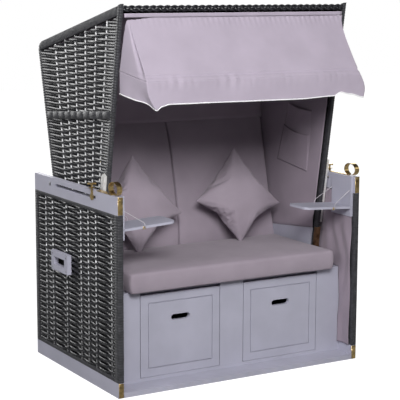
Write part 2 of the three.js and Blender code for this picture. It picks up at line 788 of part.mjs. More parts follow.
function makeHoodSides() {
  const shape = new THREE.Shape();
  const rearTop = hoodCorners[2];
  const beforeCorner = meet(ROOF, 0, BACK, hoodCornerRadius);
  const afterCorner = meet(ROOF, hoodCornerRadius, BACK, 0);
  shape.moveTo(hoodCorners[0].x, hoodCorners[0].y);
  shape.lineTo(hoodCorners[1].x, hoodCorners[1].y);
  shape.lineTo(...beforeCorner);
  shape.quadraticCurveTo(rearTop.x, rearTop.y, ...afterCorner);
  shape.lineTo(hoodCorners[3].x, hoodCorners[3].y);
  const window = [
    meet(BACK, hoodRearPost, FOOT, hoodTube),
    meet(ROOF, hoodTopRail, BACK, hoodRearPost),
    meet(FRONT, hoodTube, ROOF, hoodTopRail),
    meet(FOOT, hoodTube, FRONT, hoodTube),
  ];
  shape.holes.push(new THREE.Path(window.map(([y, z]) => new THREE.Vector2(y, z))));
  addPair(hoodSides, 'hood_side_frame', rattan, slab(shape, hoodInnerX, hoodX));

  const loose = touchGap;
  const weave = outline([
    meet(FOOT, hoodTube + loose, FRONT, hoodTube + loose),
    meet(FRONT, hoodTube + loose, ROOF, hoodTopRail + loose),
    meet(ROOF, hoodTopRail + loose, BACK, hoodRearPost + loose),
    meet(BACK, hoodRearPost + loose, FOOT, hoodTube + loose),
  ]);
  const weaveOuter = hoodX - hoodWeaveInset;
  const lowFront = new THREE.Vector2(...meet(FRONT, hoodTube, FOOT, hoodTube + loose));
  const lowRear = new THREE.Vector2(...meet(BACK, hoodRearPost, FOOT, hoodTube + loose));
  const topFront = new THREE.Vector2(...meet(FRONT, hoodTube, ROOF, hoodTopRail + loose));
  const topRear = new THREE.Vector2(...meet(BACK, hoodRearPost, ROOF, hoodTopRail + loose));
  const alongFoot = lowRear.clone().sub(lowFront).setLength(stakeWidth / 2);
  const alongRoof = topRear.clone().sub(topFront).setLength(stakeWidth / 2);
  const stakes = [];
  for (let i = 0; i < hoodStakeCount; i += 1) {
    const share = hoodStakeStartShare + hoodStakePitchShare * i;
    const low = lowFront.clone().lerp(lowRear, share);
    const top = topFront.clone().lerp(topRear, share);
    stakes.push(slab(outline([
      low.clone().sub(alongFoot).toArray(),
      low.clone().add(alongFoot).toArray(),
      top.clone().add(alongRoof).toArray(),
      top.clone().sub(alongRoof).toArray(),
    ]), weaveOuter - stakeRoot, weaveOuter));
  }
  const band = outline([
    atHeight(FRONT, hoodTube + loose, midFront - hoodMidRail / 2),
    atHeight(FRONT, hoodTube + loose, midFront + hoodMidRail / 2),
    atHeight(BACK, hoodRearPost + loose, midFront - hoodMidDrop + hoodMidRail / 2),
    atHeight(BACK, hoodRearPost + loose, midFront - hoodMidDrop - hoodMidRail / 2),
  ]);
  addPair(hoodSides, 'hood_side_weave', rattan, join(
    slab(weave, weaveOuter - weaveThickness, weaveOuter - stakeProud),
    slab(band, hoodInnerX + touchGap, hoodX),
    ...stakes,
  ));
}

function makeHoodShell() {
  const between = [-hoodBetweenX, hoodBetweenX];
  const under = hoodWeaveInset + weaveThickness;
  const sunk = hoodWeaveInset + stakeProud;
  const ribs = (points) => crossStakes().map((x) => (
    slab(outline(points), x - stakeWidth / 2, x + stakeWidth / 2)
  ));
  add(hood, 'roof_front_rail', rattan, slab(outline([
    meet(FRONT, 0, ROOF, 0),
    meet(FRONT, roofEdgeDepth, ROOF, 0),
    meet(FRONT, roofEdgeDepth, ROOF, roofEdgeHeight),
    meet(FRONT, 0, ROOF, roofEdgeHeight),
  ]), ...between));
  const roof = (outer, inner) => [
    meet(FRONT, roofEdgeDepth + touchGap, ROOF, outer),
    meet(BACK, hoodTube + touchGap, ROOF, outer),
    meet(BACK, hoodTube + touchGap, ROOF, inner),
    meet(FRONT, roofEdgeDepth + touchGap, ROOF, inner),
  ];
  add(hood, 'roof_weave', rattan, join(
    slab(outline(roof(sunk, under)), ...between),
    ...ribs(roof(hoodWeaveInset, hoodWeaveInset + stakeRoot)),
  ));
  const railTop = backTop - touchGap;
  const railFoot = railTop - hoodTube;
  const footTop = hoodFootHeight + hoodTube;
  const wall = slab(outline([
    meet(BACK, 0, FOOT, 0),
    atHeight(BACK, 0, footTop),
    atHeight(BACK, sunk, footTop),
    meet(BACK, sunk, ROOF, hoodTube),
    meet(BACK, hoodWeaveInset, ROOF, hoodTube),
    meet(BACK, hoodWeaveInset, ROOF, hoodWeaveInset),
    meet(BACK, hoodTube, ROOF, hoodWeaveInset),
    meet(BACK, hoodTube, ROOF, hoodTube),
    meet(BACK, under, ROOF, hoodTube),
    atHeight(BACK, under, railTop),
    atHeight(BACK, hoodTube, railTop),
    atHeight(BACK, hoodTube, railFoot),
    atHeight(BACK, under, railFoot),
    atHeight(BACK, under, footTop),
    atHeight(BACK, hoodTube, footTop),
    meet(BACK, hoodTube, FOOT, 0),
  ]), ...between);
  add(hood, 'hood_back_weave', rattan, join(wall, ...ribs([
    atHeight(BACK, hoodWeaveInset + touchGap, footTop - hoodTube / 2),
    meet(BACK, hoodWeaveInset + touchGap, ROOF, hoodTube / 2),
    meet(BACK, hoodWeaveInset + stakeRoot, ROOF, hoodTube / 2),
    atHeight(BACK, hoodWeaveInset + stakeRoot, footTop - hoodTube / 2),
  ])));
}

function makeHoodLinings() {
  const face = hoodTube + touchGap;
  const inner = face + liningThickness;
  const lining = outline([
    meet(FRONT, roofEdgeDepth + liningGap, ROOF, face),
    meet(BACK, face, ROOF, face),
    atHeight(BACK, face, backTop + liningGap * 2),
    atHeight(BACK, inner, backTop + liningGap * 2),
    meet(BACK, inner, ROOF, inner),
    meet(FRONT, roofEdgeDepth + liningGap, ROOF, inner),
  ]);
  const sideLining = liningThickness + touchGap * 2;
  add(hood, 'hood_lining', fabric, slab(lining, -hoodInnerX + sideLining, hoodInnerX - sideLining));
  const side = outline([
    atHeight(FRONT, hoodTube + liningGap, sideBoardTop + liningGap),
    meet(FRONT, hoodTube + liningGap, ROOF, face),
    meet(ROOF, face, BACK, face),
    atHeight(BACK, face, sideBoardTop - sideBoardRearDrop + liningGap),
  ]);
  const lined = hoodInnerX - touchGap;
  addPair(hoodSides, 'hood_side_lining', fabric, slab(side, lined - liningThickness, lined));
  const board = outline([
    atHeight(FRONT, hoodTube + liningGap, sideBoardBottom),
    atHeight(FRONT, hoodTube + liningGap, sideBoardTop),
    atHeight(BACK, face, sideBoardTop - sideBoardRearDrop),
    atHeight(BACK, face, sideBoardBottom),
  ]);
  addPair(hoodSides, 'hood_side_board', paint, slab(board, lined - sideBoardThickness, lined));
}

// The strap clasps the foot of the front post on three sides and ends in the eye that the pivot pin carries
function makePivotStraps() {
  const front = -touchGap;
  const face = front - strapThickness;
  const inner = [
    atHeight(FRONT, front, hoodFootHeight),
    atHeight(FRONT, front, strapTop),
    atHeight(FRONT, face, strapTop),
    atHeight(FRONT, face, hoodFootHeight),
  ];
  const x0 = hoodInnerX - touchGap - strapThickness;
  const x1 = hoodX + touchGap + strapThickness;
  const cheek = (depth) => outline([
    atHeight(FRONT, depth, hoodFootHeight),
    atHeight(FRONT, depth, strapTop),
    atHeight(FRONT, face, strapTop),
    atHeight(FRONT, face, hoodFootHeight),
  ]);
  const eyeX = hoodX + touchGap;
  const ear = outline([
    atHeight(FRONT, hoodTube, hoodFootHeight + pivotEyeRadius),
    atHeight(FRONT, face, hoodFootHeight + pivotEyeRadius),
    [pivotY - pivotEyeRadius, pivotHeight],
    [pivotY + pivotEyeRadius, pivotHeight],
  ]);
  const whole = join(
    slab(outline(inner), x0, x1),
    slab(cheek(strapLip), x0, x0 + strapThickness),
    slab(cheek(hoodTube), eyeX, x1),
    slab(ear, eyeX, x1),
    disc(pivotEyeRadius, eyeX, x1, pivotY, pivotHeight),
  );
  const bore = pivotPinRadius + pivotRunningGap;
  const hole = disc(bore, eyeX - cutOverrun, x1 + cutOverrun, pivotY, pivotHeight);
  addPair(hoodSides, 'pivot_strap', brass, cut(whole, hole));
}

// The latch plate is an angle bar: one leg lies along the hood's side, the other turns out at its front edge
function makeLatchPlates() {
  const x0 = hoodX + touchGap;
  const x1 = x0 + latchPlateThickness;
  const near = latchPlateSetback;
  const far = near + latchPlateWidth;
  const middle = (near + far) / 2;
  const latchPlateBottom = strapTop + latchPlateAboveStrap;
  const latchPlateTop = slotLevel + latchPlateAboveSlot;
  const shoulder = latchPlateTop - latchPlateWidth / 4;
  const foot = latchPlateBottom + latchPlateWidth / 4;
  const plate = outline([
    atHeight(FRONT, middle, latchPlateBottom),
    atHeight(FRONT, near, foot),
    atHeight(FRONT, near, shoulder),
    atHeight(FRONT, middle, latchPlateTop),
    atHeight(FRONT, far, shoulder),
    atHeight(FRONT, far, foot),
  ]);
  const windowTop = slotLevel + latchWindowHeight / 2;
  const windowBottom = slotLevel - latchWindowHeight / 2;
  const window = outline([
    atHeight(FRONT, middle - latchWindowWidth / 2, windowBottom),
    atHeight(FRONT, middle - latchWindowWidth / 2, windowTop),
    atHeight(FRONT, middle + latchWindowWidth / 2, windowTop),
    atHeight(FRONT, middle + latchWindowWidth / 2, windowBottom),
  ]);
  const flange = outline([
    atHeight(FRONT, near, foot),
    atHeight(FRONT, near, shoulder),
    atHeight(FRONT, near + latchPlateThickness, shoulder),
    atHeight(FRONT, near + latchPlateThickness, foot),
  ]);
  addPair(hoodSides, 'latch_plate', steel, cut(
    join(slab(plate, x0, x1), slab(flange, x0, x0 + latchFlangeWidth)),
    slab(window, x0 - cutOverrun, x1 + cutOverrun),
  ));
}

// Clamp that travels in the armrest slot, with its star knob above the rail
function makeClamps() {
  const x0 = outerX + touchGap * 2;
  const x1 = x0 + clampStrapThickness;
  const top = sideHeight + clampRise;
  const pinStart = hoodX + touchGap + latchPlateThickness + latchPlateClear;
  const knobX = (x0 + x1) / 2;
  const star = new THREE.Shape();
  for (let i = 0; i < knobPoints * 2; i += 1) {
    const radius = i % 2 ? knobRadius * knobInnerShare : knobRadius;
    const angle = i * Math.PI / knobPoints;
    star[i ? 'lineTo' : 'moveTo'](Math.cos(angle) * radius, Math.sin(angle) * radius);
  }
  const knobBottom = top + knobStemHeight;
  const knob = new THREE.ExtrudeGeometry(star, { depth: knobThickness, bevelEnabled: false });
  knob.translate(knobX, clampY, knobBottom);
  const stemLength = knobStemHeight + knobThickness;
  const stem = new THREE.CylinderGeometry(knobStemRadius, knobStemRadius, stemLength, stemSides);
  stem.rotateX(Math.PI / 2).translate(knobX, clampY, top + (stemLength - clampStrapThickness) / 2);
  const strapStart = clampY - clampStrapWidth / 2;
  const strapEnd = clampY + clampStrapWidth / 2;
  const whole = join(
    disc(clampPinRadius, pinStart, x1, clampY, slotLevel, stemSides),
    disc(clampRingRadius, x0, x1, clampY, slotLevel),
    block(x0, x1, strapStart, strapEnd, slotLevel, top),
    block(x0 - clampReach, x1 + clampReach, strapStart, strapEnd, top - clampStrapThickness, top),
    stem,
    knob,
  );
  addPair({ right: group(chair), left: group(chair) }, 'recline_clamp', brass, whole);
}

// Release handle: a strap rolled into an open loop at the armrest's front end, on a slotted strip
function makeReleaseHandles() {
  const x0 = outerX - sideThickness / 2 - releaseWidth / 2;
  const x1 = x0 + releaseWidth;
  const z0 = sideHeight + touchGap;
  const centreY = frontY + loopFromFront + loopLength / 2;
  const centreZ = z0 + loopHeight / 2;
  const loop = new THREE.Shape();
  const mouthFront = Math.PI * 1.5 - loopMouthAngle / 2;
  const mouthRear = -Math.PI / 2 + loopMouthAngle / 2;
  loop.absellipse(centreY, centreZ, loopLength / 2, loopHeight / 2, mouthRear, mouthFront, false);
  loop.absellipse(centreY, centreZ, loopLength / 2 - releaseStrip, loopHeight / 2 - releaseStrip,
    mouthFront, mouthRear, true);
  const stripStart = centreY + Math.cos(mouthRear) * (loopLength / 2 - releaseStrip);
  const stripEnd = frontY + releaseLength;
  const vents = [];
  for (let i = 0; i < ventCount; i += 1) {
    const y = stripEnd - ventPitch / 2 - i * ventPitch;
    vents.push(block(x0 + (releaseWidth - ventWidth) / 2, x1 - (releaseWidth - ventWidth) / 2,
      y - ventLength, y, z0 - cutOverrun, z0 + releaseStrip + cutOverrun));
  }
  const strip = cut(block(x0, x1, stripStart, stripEnd, z0, z0 + releaseStrip), ...vents);
  const whole = join(slab(loop, x0, x1, 12), strip);
  addPair({ right: group(chair), left: group(chair) }, 'release_handle', brass, whole);
}

// Seat and backrest cushions, and two scatter cushions stood on their corners

function makeCushions() {
  const seatFront = bayY - seatOverhang;
  const backFrontAtSeat = atHeight(BACK, hoodTube + touchGap + backThickness, backBottom)[0];
  const seatRear = backFrontAtSeat - seatRearGap;
  const seat = cushion({ width: seatHalfWidth * 2, depth: seatRear - seatFront, thick: seatThickness,
    crown: seatCrown, cells: seatCells });
  seat.translate(0, (seatFront + seatRear) / 2, seatBottom);
  add(chair, 'seat_cushion', fabric, seat);

  const foot = new THREE.Vector2(...atHeight(BACK, hoodTube + touchGap, backBottom));
  const head = new THREE.Vector2(...atHeight(BACK, hoodTube + touchGap, backTop));
  const lean = new THREE.Vector2().subVectors(head, foot);
  const backWidth = (hoodInnerX - backSideGap) * 2;
  const back = cushion({ width: backWidth, depth: lean.length(), thick: backThickness,
    crown: backCrown, seam: backSeam, cells: backCells });
  back.rotateX(Math.PI / 2 - Math.atan2(lean.x, lean.y));
  back.translate(0, (foot.x + head.x) / 2, (foot.y + head.y) / 2);
  add(hood, 'back_cushion', fabric, back);

  for (const [name, side] of [['pillow_right', 1], ['pillow_left', -1]]) {
    const pillow = scatterCushion(pillowCells);
    pillow.rotateZ(Math.PI / 4).rotateX(Math.PI / 2 - pillowLean);
    pillow.translate(side * hoodInnerX * pillowSpreadShare, frontY + pillowFromFront,
      seatBottom + pillowAboveSeat);
    add(group(hood), name, fabric, pillow);
  }
}

// Awning: a swinging U rod, the cloth that hangs over it and the loose valance below

const awningTop = hoodFrontHeight - awningTopDrop;
const awningTopY = atHeight(FRONT, -awningClothGap, awningTop)[0];
const [awningPivotY] = atHeight(FRONT, hoodTube / 2, awningPivotHeight);
const awningBarY = atHeight(FRONT, 0, awningBarLevel)[0] - awningReach;
const awningFrontY = awningBarY - awningRodRadius - awningClothThickness - awningClothGap;

function makeAwning() {
  const rodX = awningHalfWidth - awningRodMargin;
  const swing = group(hood, 0, awningPivotY - pivotY, awningPivotHeight - pivotHeight);
  const corner = [awningBarY, awningBarLevel];
  const route = [
    new THREE.Vector3(-hoodBetweenX, awningPivotY, awningPivotHeight),
    new THREE.Vector3(-rodX, awningPivotY, awningPivotHeight),
    new THREE.Vector3(-rodX, ...corner),
    new THREE.Vector3(rodX, ...corner),
    new THREE.Vector3(rodX, awningPivotY, awningPivotHeight),
    new THREE.Vector3(hoodBetweenX, awningPivotY, awningPivotHeight),
  ];
  add(swing, 'awning_rod', steel, rod(route, awningRodRadius, 12));

  const barTop = awningBarLevel;
  const frontPlace = (v) => {
    const sag = awningBelly * Math.sin(Math.PI * v);
    return [awningTopY + (awningFrontY - awningTopY) * v + sag, awningTop + (barTop - awningTop) * v];
  };
  const front = sheet((u, v) => {
    const [y, z] = frontPlace(v);
    const gather = gatherDepth * Math.cos(u * gatherCount * 2 * Math.PI) * (1 - v) ** 2;
    return new THREE.Vector3((2 * u - 1) * awningHalfWidth, y + gather, z);
  }, awningCells.across, awningCells.down, awningClothThickness);
  const flapFront = barTop - valanceHeight;
  const flapRear = awningTop - awningFlapDrop + (valanceHeight - awningBelly) / 2;
  const flap = sheet((u, v) => {
    const barShare = (awningTop - barTop) / (awningTop - flapFront);
    const [y, z] = v < barShare ? frontPlace(v / barShare)
      : [awningFrontY, barTop - (v - barShare) / (1 - barShare) * (barTop - flapFront)];
    const rearZ = awningTop + (flapRear - awningTop) * v;
    const rearY = atHeight(FRONT, -awningClothGap, rearZ)[0];
    const fill = awningBelly * Math.sin(Math.PI * u) * Math.sin(Math.PI * v) / 2;
    const forward = 1 - u;
    return new THREE.Vector3(
      awningHalfWidth + fill,
      rearY + (y - rearY) * forward,
      rearZ + (z - rearZ) * forward,
    );
  }, flapCells.across, flapCells.down, awningClothThickness);
  add(hood, 'awning_cloth', awningFabric, join(front, flap, mirrored(flap)));

  const hang = group(swing, 0, awningBarY - awningPivotY, awningBarLevel - awningPivotHeight);
  const valanceTop = barTop - valanceGap - awningRodRadius;
  const valanceFoot = barTop - valanceHeight;
  const halfSpan = awningHalfWidth - awningClothThickness - valanceGap * 3;
  const valance = sheet((u, v) => {
    const wave = valanceWaveDepth * Math.cos(u * valanceWaves * 2 * Math.PI) * v;
    const z = valanceTop + (valanceFoot - valanceTop) * v;
    return new THREE.Vector3((2 * u - 1) * halfSpan, awningFrontY + valanceWaveDepth + wave, z);
  }, valanceCells.across, valanceCells.down, awningClothThickness);
  add(hang, 'awning_valance', awningFabric, valance);
}

makePlinth();
makeSideFrames();
makeCarryHandles();
makeBasePanel();
makeArmrests();
makeBay();
makeFootrests();
makeTrayPanels();
makeTrays();
makeTrayCords();
makeBaseLinings();
makeHoodSides();
makeHoodShell();
makeHoodLinings();
makePivotStraps();
makeLatchPlates();
makeClamps();
makeReleaseHandles();
makeCushions();
makeAwning();

// The origin is under the middle of the whole chair's box
chair.updateMatrixWorld(true);
const extent = new THREE.Box3().setFromObject(chair, true);
const middle = extent.getCenter(new THREE.Vector3());
chair.position.set(-middle.x, -middle.y, -extent.min.z);
chair.updateMatrixWorld(true);

export default chair;
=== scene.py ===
# %% [markdown]
# # A hooded beach chair, dressed piece by piece
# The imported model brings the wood, the metal and a plain solid for everything soft or woven. This lesson
# keeps the solids whose shape is already right and gives them paint, brass or zinc. The woven walls, the
# wrapped rails, the cushions and the awning are made here, because their looks come from strands, seams and
# folds.

import math

import bpy
import numpy as np
from mathutils import Matrix, Vector, noise


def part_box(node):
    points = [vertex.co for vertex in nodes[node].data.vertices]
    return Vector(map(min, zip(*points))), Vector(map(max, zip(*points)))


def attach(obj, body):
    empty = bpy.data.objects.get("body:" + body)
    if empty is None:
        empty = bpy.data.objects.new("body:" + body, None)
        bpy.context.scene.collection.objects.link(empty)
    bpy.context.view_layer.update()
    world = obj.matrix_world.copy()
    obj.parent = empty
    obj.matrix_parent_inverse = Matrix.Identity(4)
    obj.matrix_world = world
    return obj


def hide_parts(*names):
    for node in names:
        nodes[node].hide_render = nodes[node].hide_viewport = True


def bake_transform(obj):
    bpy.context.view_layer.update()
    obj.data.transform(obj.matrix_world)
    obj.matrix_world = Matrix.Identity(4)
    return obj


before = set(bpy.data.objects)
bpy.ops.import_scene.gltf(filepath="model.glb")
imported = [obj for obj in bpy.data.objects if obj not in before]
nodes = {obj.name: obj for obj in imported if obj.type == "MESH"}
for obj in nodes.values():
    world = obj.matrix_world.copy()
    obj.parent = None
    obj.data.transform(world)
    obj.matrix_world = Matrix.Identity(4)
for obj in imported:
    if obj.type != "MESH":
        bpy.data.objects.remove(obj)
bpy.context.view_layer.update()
print("the frame has", len(nodes), "nodes")

# %% [markdown]
# The base stands a little off the middle of the frame, because the awning reaches further forward than the
# hood reaches back. Everything that is measured from the base starts from the middle of its left plinth.

# %% Where the base stands
MM = 0.001
SIDES = (("left", -1), ("right", 1))


def node_box(name):
    """The lowest and the highest corner of a CAD node."""
    return [Vector(corner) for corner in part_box(name)]


PLINTH_LOW, PLINTH_HIGH = node_box("plinth_left")
MIDDLE_Y = (PLINTH_LOW.y + PLINTH_HIGH.y) / 2
FRONT_Y = PLINTH_LOW.y
OUTER_X = -PLINTH_LOW.x
INNER_X = -PLINTH_HIGH.x
print("the base's front is at", round(FRONT_Y, 4), "and its outer face at", round(OUTER_X, 4))

# %% [markdown]
# The camera comes first, so that every later render can be held against the photograph. A long lens far away
# gives the calm perspective of a catalogue picture. Its place was solved from the corners of the base.

# %% Camera
CAMERA_FROM_MIDDLE = Vector((-2.944, -5.001, 1.646))
CAMERA_TURN = math.radians(30.66)
CAMERA_DOWN = math.radians(9.23)
CAMERA_ROLL = math.radians(0.19)
CAMERA_LENS = 120.55
FILM_WIDTH = 36.0
FAR_END = 100.0

camera_data = bpy.data.cameras.new("camera")
camera_data.lens = CAMERA_LENS
camera_data.sensor_width = FILM_WIDTH
camera_data.clip_end = FAR_END
camera = bpy.data.objects.new("camera", camera_data)
bpy.context.collection.objects.link(camera)
aim = Matrix.Rotation(-CAMERA_TURN, 4, "Z") @ Matrix.Rotation(math.pi / 2 - CAMERA_DOWN, 4, "X")
camera.matrix_world = (Matrix.Translation(CAMERA_FROM_MIDDLE + Vector((0, MIDDLE_Y, 0))) @ aim
                       @ Matrix.Rotation(CAMERA_ROLL, 4, "Z"))
bpy.context.scene.camera = camera
print("the camera stands", round(CAMERA_FROM_MIDDLE.length, 2), "m away")

# %% [markdown]
# Studio light for a white catalogue page. One large soft lamp stands at the front left, a weak one at the
# front right and a middling one at the left side. Each has its power, size, place and the point it looks at.
# Behind the chair the world is bright like a backdrop: the strands that face it gleam, and the others stay
# dark, which is what draws the weave. The world shows pure white to the camera, whatever it does to the
# chair.

# %% Light
WHITE = (1.0, 1.0, 1.0, 1.0)
ROOM_LEVEL = 0.06
BACKDROP_LEVEL = 5.2
BACKDROP_TURN = math.radians(80)
BACKDROP_RISE = math.radians(12)
BACKDROP_HALF = math.radians(30)
BACKDROP_FADE = math.radians(40)
LAMPS = {"key": (256.0, (2.4, 1.6), (-2.0, -4.3, 3.4), (0.0, 0.0, 0.8)),
         "fill": (20.0, (2.0, 1.6), (2.8, -3.6, 2.8), (0.0, 0.0, 0.7)),
         "side": (54.0, (1.4, 2.2), (-4.4, -1.4, 2.4), (-0.5, 0.0, 0.7))}


def softbox(name, power, size, place, target):
    """A rectangular area lamp that looks at a point."""
    lamp_data = bpy.data.lights.new(name, "AREA")
    lamp_data.shape = "RECTANGLE"
    lamp_data.energy = power
    lamp_data.size, lamp_data.size_y = size
    lamp = bpy.data.objects.new(name, lamp_data)
    lamp.location = place
    lamp.rotation_euler = (Vector(target) - Vector(place)).to_track_quat("-Z", "Y").to_euler()
    bpy.context.collection.objects.link(lamp)


for name, lamp_values in LAMPS.items():
    softbox(name, *lamp_values)


def add_node(tree, kind, values=(), **settings):
    """A new shader node. values sets its inputs by name or number, settings its properties."""
    node = tree.nodes.new(f"ShaderNode{kind}")
    for name, value in settings.items():
        setattr(node, name, value)
    for socket, value in dict(values).items():
        node.inputs[socket].default_value = value
    return node


def white_to_camera(tree, seen_white, lit):
    """Shows one shader to the camera, and lets another light the object."""
    path = add_node(tree, "LightPath")
    either = add_node(tree, "Math", operation="MAXIMUM")
    tree.links.new(path.outputs["Is Camera Ray"], either.inputs[0])
    tree.links.new(path.outputs["Is Transmission Ray"], either.inputs[1])
    mix = add_node(tree, "MixShader")
    tree.links.new(either.outputs[0], mix.inputs["Fac"])
    tree.links.new(lit.outputs[0], mix.inputs[1])
    tree.links.new(seen_white.outputs[0], mix.inputs[2])
    return mix


world = bpy.data.worlds.new("white studio")
bpy.context.scene.world = world
world.use_nodes = True
world_tree = world.node_tree
world_tree.nodes.clear()
lit_world = add_node(world_tree, "Background")
sky = add_node(world_tree, "TexCoord")
backdrop_middle = (math.cos(BACKDROP_TURN) * math.cos(BACKDROP_RISE),
                   math.sin(BACKDROP_TURN) * math.cos(BACKDROP_RISE), math.sin(BACKDROP_RISE))
towards = add_node(world_tree, "VectorMath", {1: backdrop_middle}, operation="DOT_PRODUCT")
backdrop = add_node(world_tree, "MapRange", {"From Min": math.cos(BACKDROP_FADE),
                                             "From Max": math.cos(BACKDROP_HALF), "To Min": ROOM_LEVEL,
                                             "To Max": BACKDROP_LEVEL}, interpolation_type="SMOOTHSTEP")
world_tree.links.new(sky.outputs["Generated"], towards.inputs[0])
world_tree.links.new(towards.outputs["Value"], backdrop.inputs["Value"])
world_tree.links.new(backdrop.outputs["Result"], lit_world.inputs["Strength"])
seen_world = add_node(world_tree, "Background", {"Color": WHITE, "Strength": 1.0})
world_out = add_node(world_tree, "OutputWorld")
world_mix = white_to_camera(world_tree, seen_world, lit_world)
world_tree.links.new(world_mix.outputs[0], world_out.inputs["Surface"])
bpy.context.scene.view_settings.view_transform = "Standard"

# %% [markdown]
# The floor is one large pale sheet. To the camera it also glows a little, so that it reaches the white of
# the page where it is fully lit and still keeps the soft shadow under the chair.

# %% Floor
FLOOR_HALF = 14.0
FLOOR_SHADE = 0.3
FLOOR_GLOW = 0.93


def shader_of(material):
    return material.node_tree.nodes["Principled BSDF"]


def plain_finish(name, colour, roughness, metallic=0.0):
    """A material with one colour on a Principled shader, ready for more nodes."""
    material = bpy.data.materials.new(name)
    material.use_nodes = True
    shader = shader_of(material)
    shader.inputs["Base Color"].default_value = (*colour, 1.0)
    shader.inputs["Roughness"].default_value = roughness
    shader.inputs["Metallic"].default_value = metallic
    return material


floor_mesh = bpy.data.meshes.new("floor")
floor_mesh.from_pydata([(-FLOOR_HALF, -FLOOR_HALF, 0), (FLOOR_HALF, -FLOOR_HALF, 0),
                        (FLOOR_HALF, FLOOR_HALF, 0), (-FLOOR_HALF, FLOOR_HALF, 0)], [], [(0, 1, 2, 3)])
floor = bpy.data.objects.new("floor", floor_mesh)
bpy.context.collection.objects.link(floor)
floor_white = plain_finish("floor white", (FLOOR_SHADE, FLOOR_SHADE, FLOOR_SHADE), 0.9)
floor_tree = floor_white.node_tree
shader_of(floor_white).inputs["Specular IOR Level"].default_value = 0.0
glow = add_node(floor_tree, "Emission", {"Strength": FLOOR_GLOW})
glowing = add_node(floor_tree, "AddShader")
floor_tree.links.new(shader_of(floor_white).outputs["BSDF"], glowing.inputs[0])
floor_tree.links.new(glow.outputs["Emission"], glowing.inputs[1])
floor_mix = white_to_camera(floor_tree, glowing, shader_of(floor_white))
floor_tree.links.new(floor_mix.outputs[0], floor_tree.nodes["Material Output"].inputs["Surface"])
floor_mesh.materials.append(floor_white)

# %% [markdown]
# Finishes share a few habits. Real paint, strand and cloth are never one flat colour, so each gets a slow
# mottle. Fine relief is a bump from a texture that is stretched along the grain, strand or thread. All of it
# is laid out in object space, so that it keeps its size in millimetres on every piece.

# %% Helpers for finishes
NOISE_LOW_SHARE = 0.3
NOISE_HIGH_SHARE = 0.7


def texture_space(material, stretch=(1.0, 1.0, 1.0)):
    """Object coordinates, stretched along an axis for grain."""
    tree = material.node_tree
    space = add_node(tree, "TexCoord")
    mapping = add_node(tree, "Mapping", {"Scale": stretch})
    tree.links.new(space.outputs["Object"], mapping.inputs["Vector"])
    return mapping.outputs["Vector"]


def noise_field(material, scale, detail=2.0, stretch=(1.0, 1.0, 1.0)):
    tree = material.node_tree
    field = add_node(tree, "TexNoise", {"Scale": scale, "Detail": detail})
    tree.links.new(texture_space(material, stretch), field.inputs["Vector"])
    return field.outputs["Fac"]


def mottle(material, colour, low, high, scale, stretch=(1.0, 1.0, 1.0)):
    """Lets the colour wander between a darker and a lighter share of itself."""
    tree = material.node_tree
    ramp = add_node(tree, "MapRange", {"From Min": NOISE_LOW_SHARE, "From Max": NOISE_HIGH_SHARE,
                                       "To Min": low, "To Max": high})
    tree.links.new(noise_field(material, scale, 3.0, stretch), ramp.inputs["Value"])
    tint = add_node(tree, "VectorMath", {0: colour}, operation="SCALE")
    tree.links.new(ramp.outputs["Result"], tint.inputs["Scale"])
    tree.links.new(tint.outputs["Vector"], shader_of(material).inputs["Base Color"])


def relief(material, height, distance, strength=1.0):
    """A bump from a height field; distance is its depth in metres."""
    tree = material.node_tree
    bump = add_node(tree, "Bump", {"Distance": distance, "Strength": strength})
    tree.links.new(height, bump.inputs["Height"])
    shader = shader_of(material)
    if shader.inputs["Normal"].is_linked:
        tree.links.new(shader.inputs["Normal"].links[0].from_socket, bump.inputs["Normal"])
    tree.links.new(bump.outputs["Normal"], shader.inputs["Normal"])


def uneven_gloss(material, low, high, scale, stretch=(1.0, 1.0, 1.0)):
    tree = material.node_tree
    ramp = add_node(tree, "MapRange", {"To Min": low, "To Max": high})
    tree.links.new(noise_field(material, scale, 3.0, stretch), ramp.inputs["Value"])
    tree.links.new(ramp.outputs["Result"], shader_of(material).inputs["Roughness"])


def mottled_finish(name, colour, roughness, wander, metallic=0.0, gloss=None):
    """A mottled colour; wander and gloss are each a low end, a high end and a scale."""
    material = plain_finish(name, colour, roughness, metallic)
    mottle(material, colour, *wander)
    if gloss:
        uneven_gloss(material, *gloss)
    return material


# %% [markdown]
# Painted wood: a grey with a touch of lilac, brushed on boards. The grain is still just felt under the
# paint, so its relief is a noise that is drawn out along the board. One version runs along X, one along Y
# and one along Z, because a board's grain follows its length.

# %% Painted wood
PAINT = (0.42, 0.415, 0.50)
GRAIN_FINE = 900.0
GRAIN_STRETCH = 0.04
GRAIN_DEPTH = 0.25 * MM


def painted_wood(axis):
    stretch = [1.0, 1.0, 1.0]
    stretch["XYZ".index(axis)] = GRAIN_STRETCH
    material = plain_finish(f"painted wood along {axis}", PAINT, 0.5)
    mottle(material, PAINT, 0.94, 1.05, 7.0)
    relief(material, noise_field(material, GRAIN_FINE, 2.0, stretch), GRAIN_DEPTH, 0.5)
    uneven_gloss(material, 0.42, 0.62, 60.0, stretch)
    return material


wood = {axis: painted_wood(axis) for axis in "XYZ"}
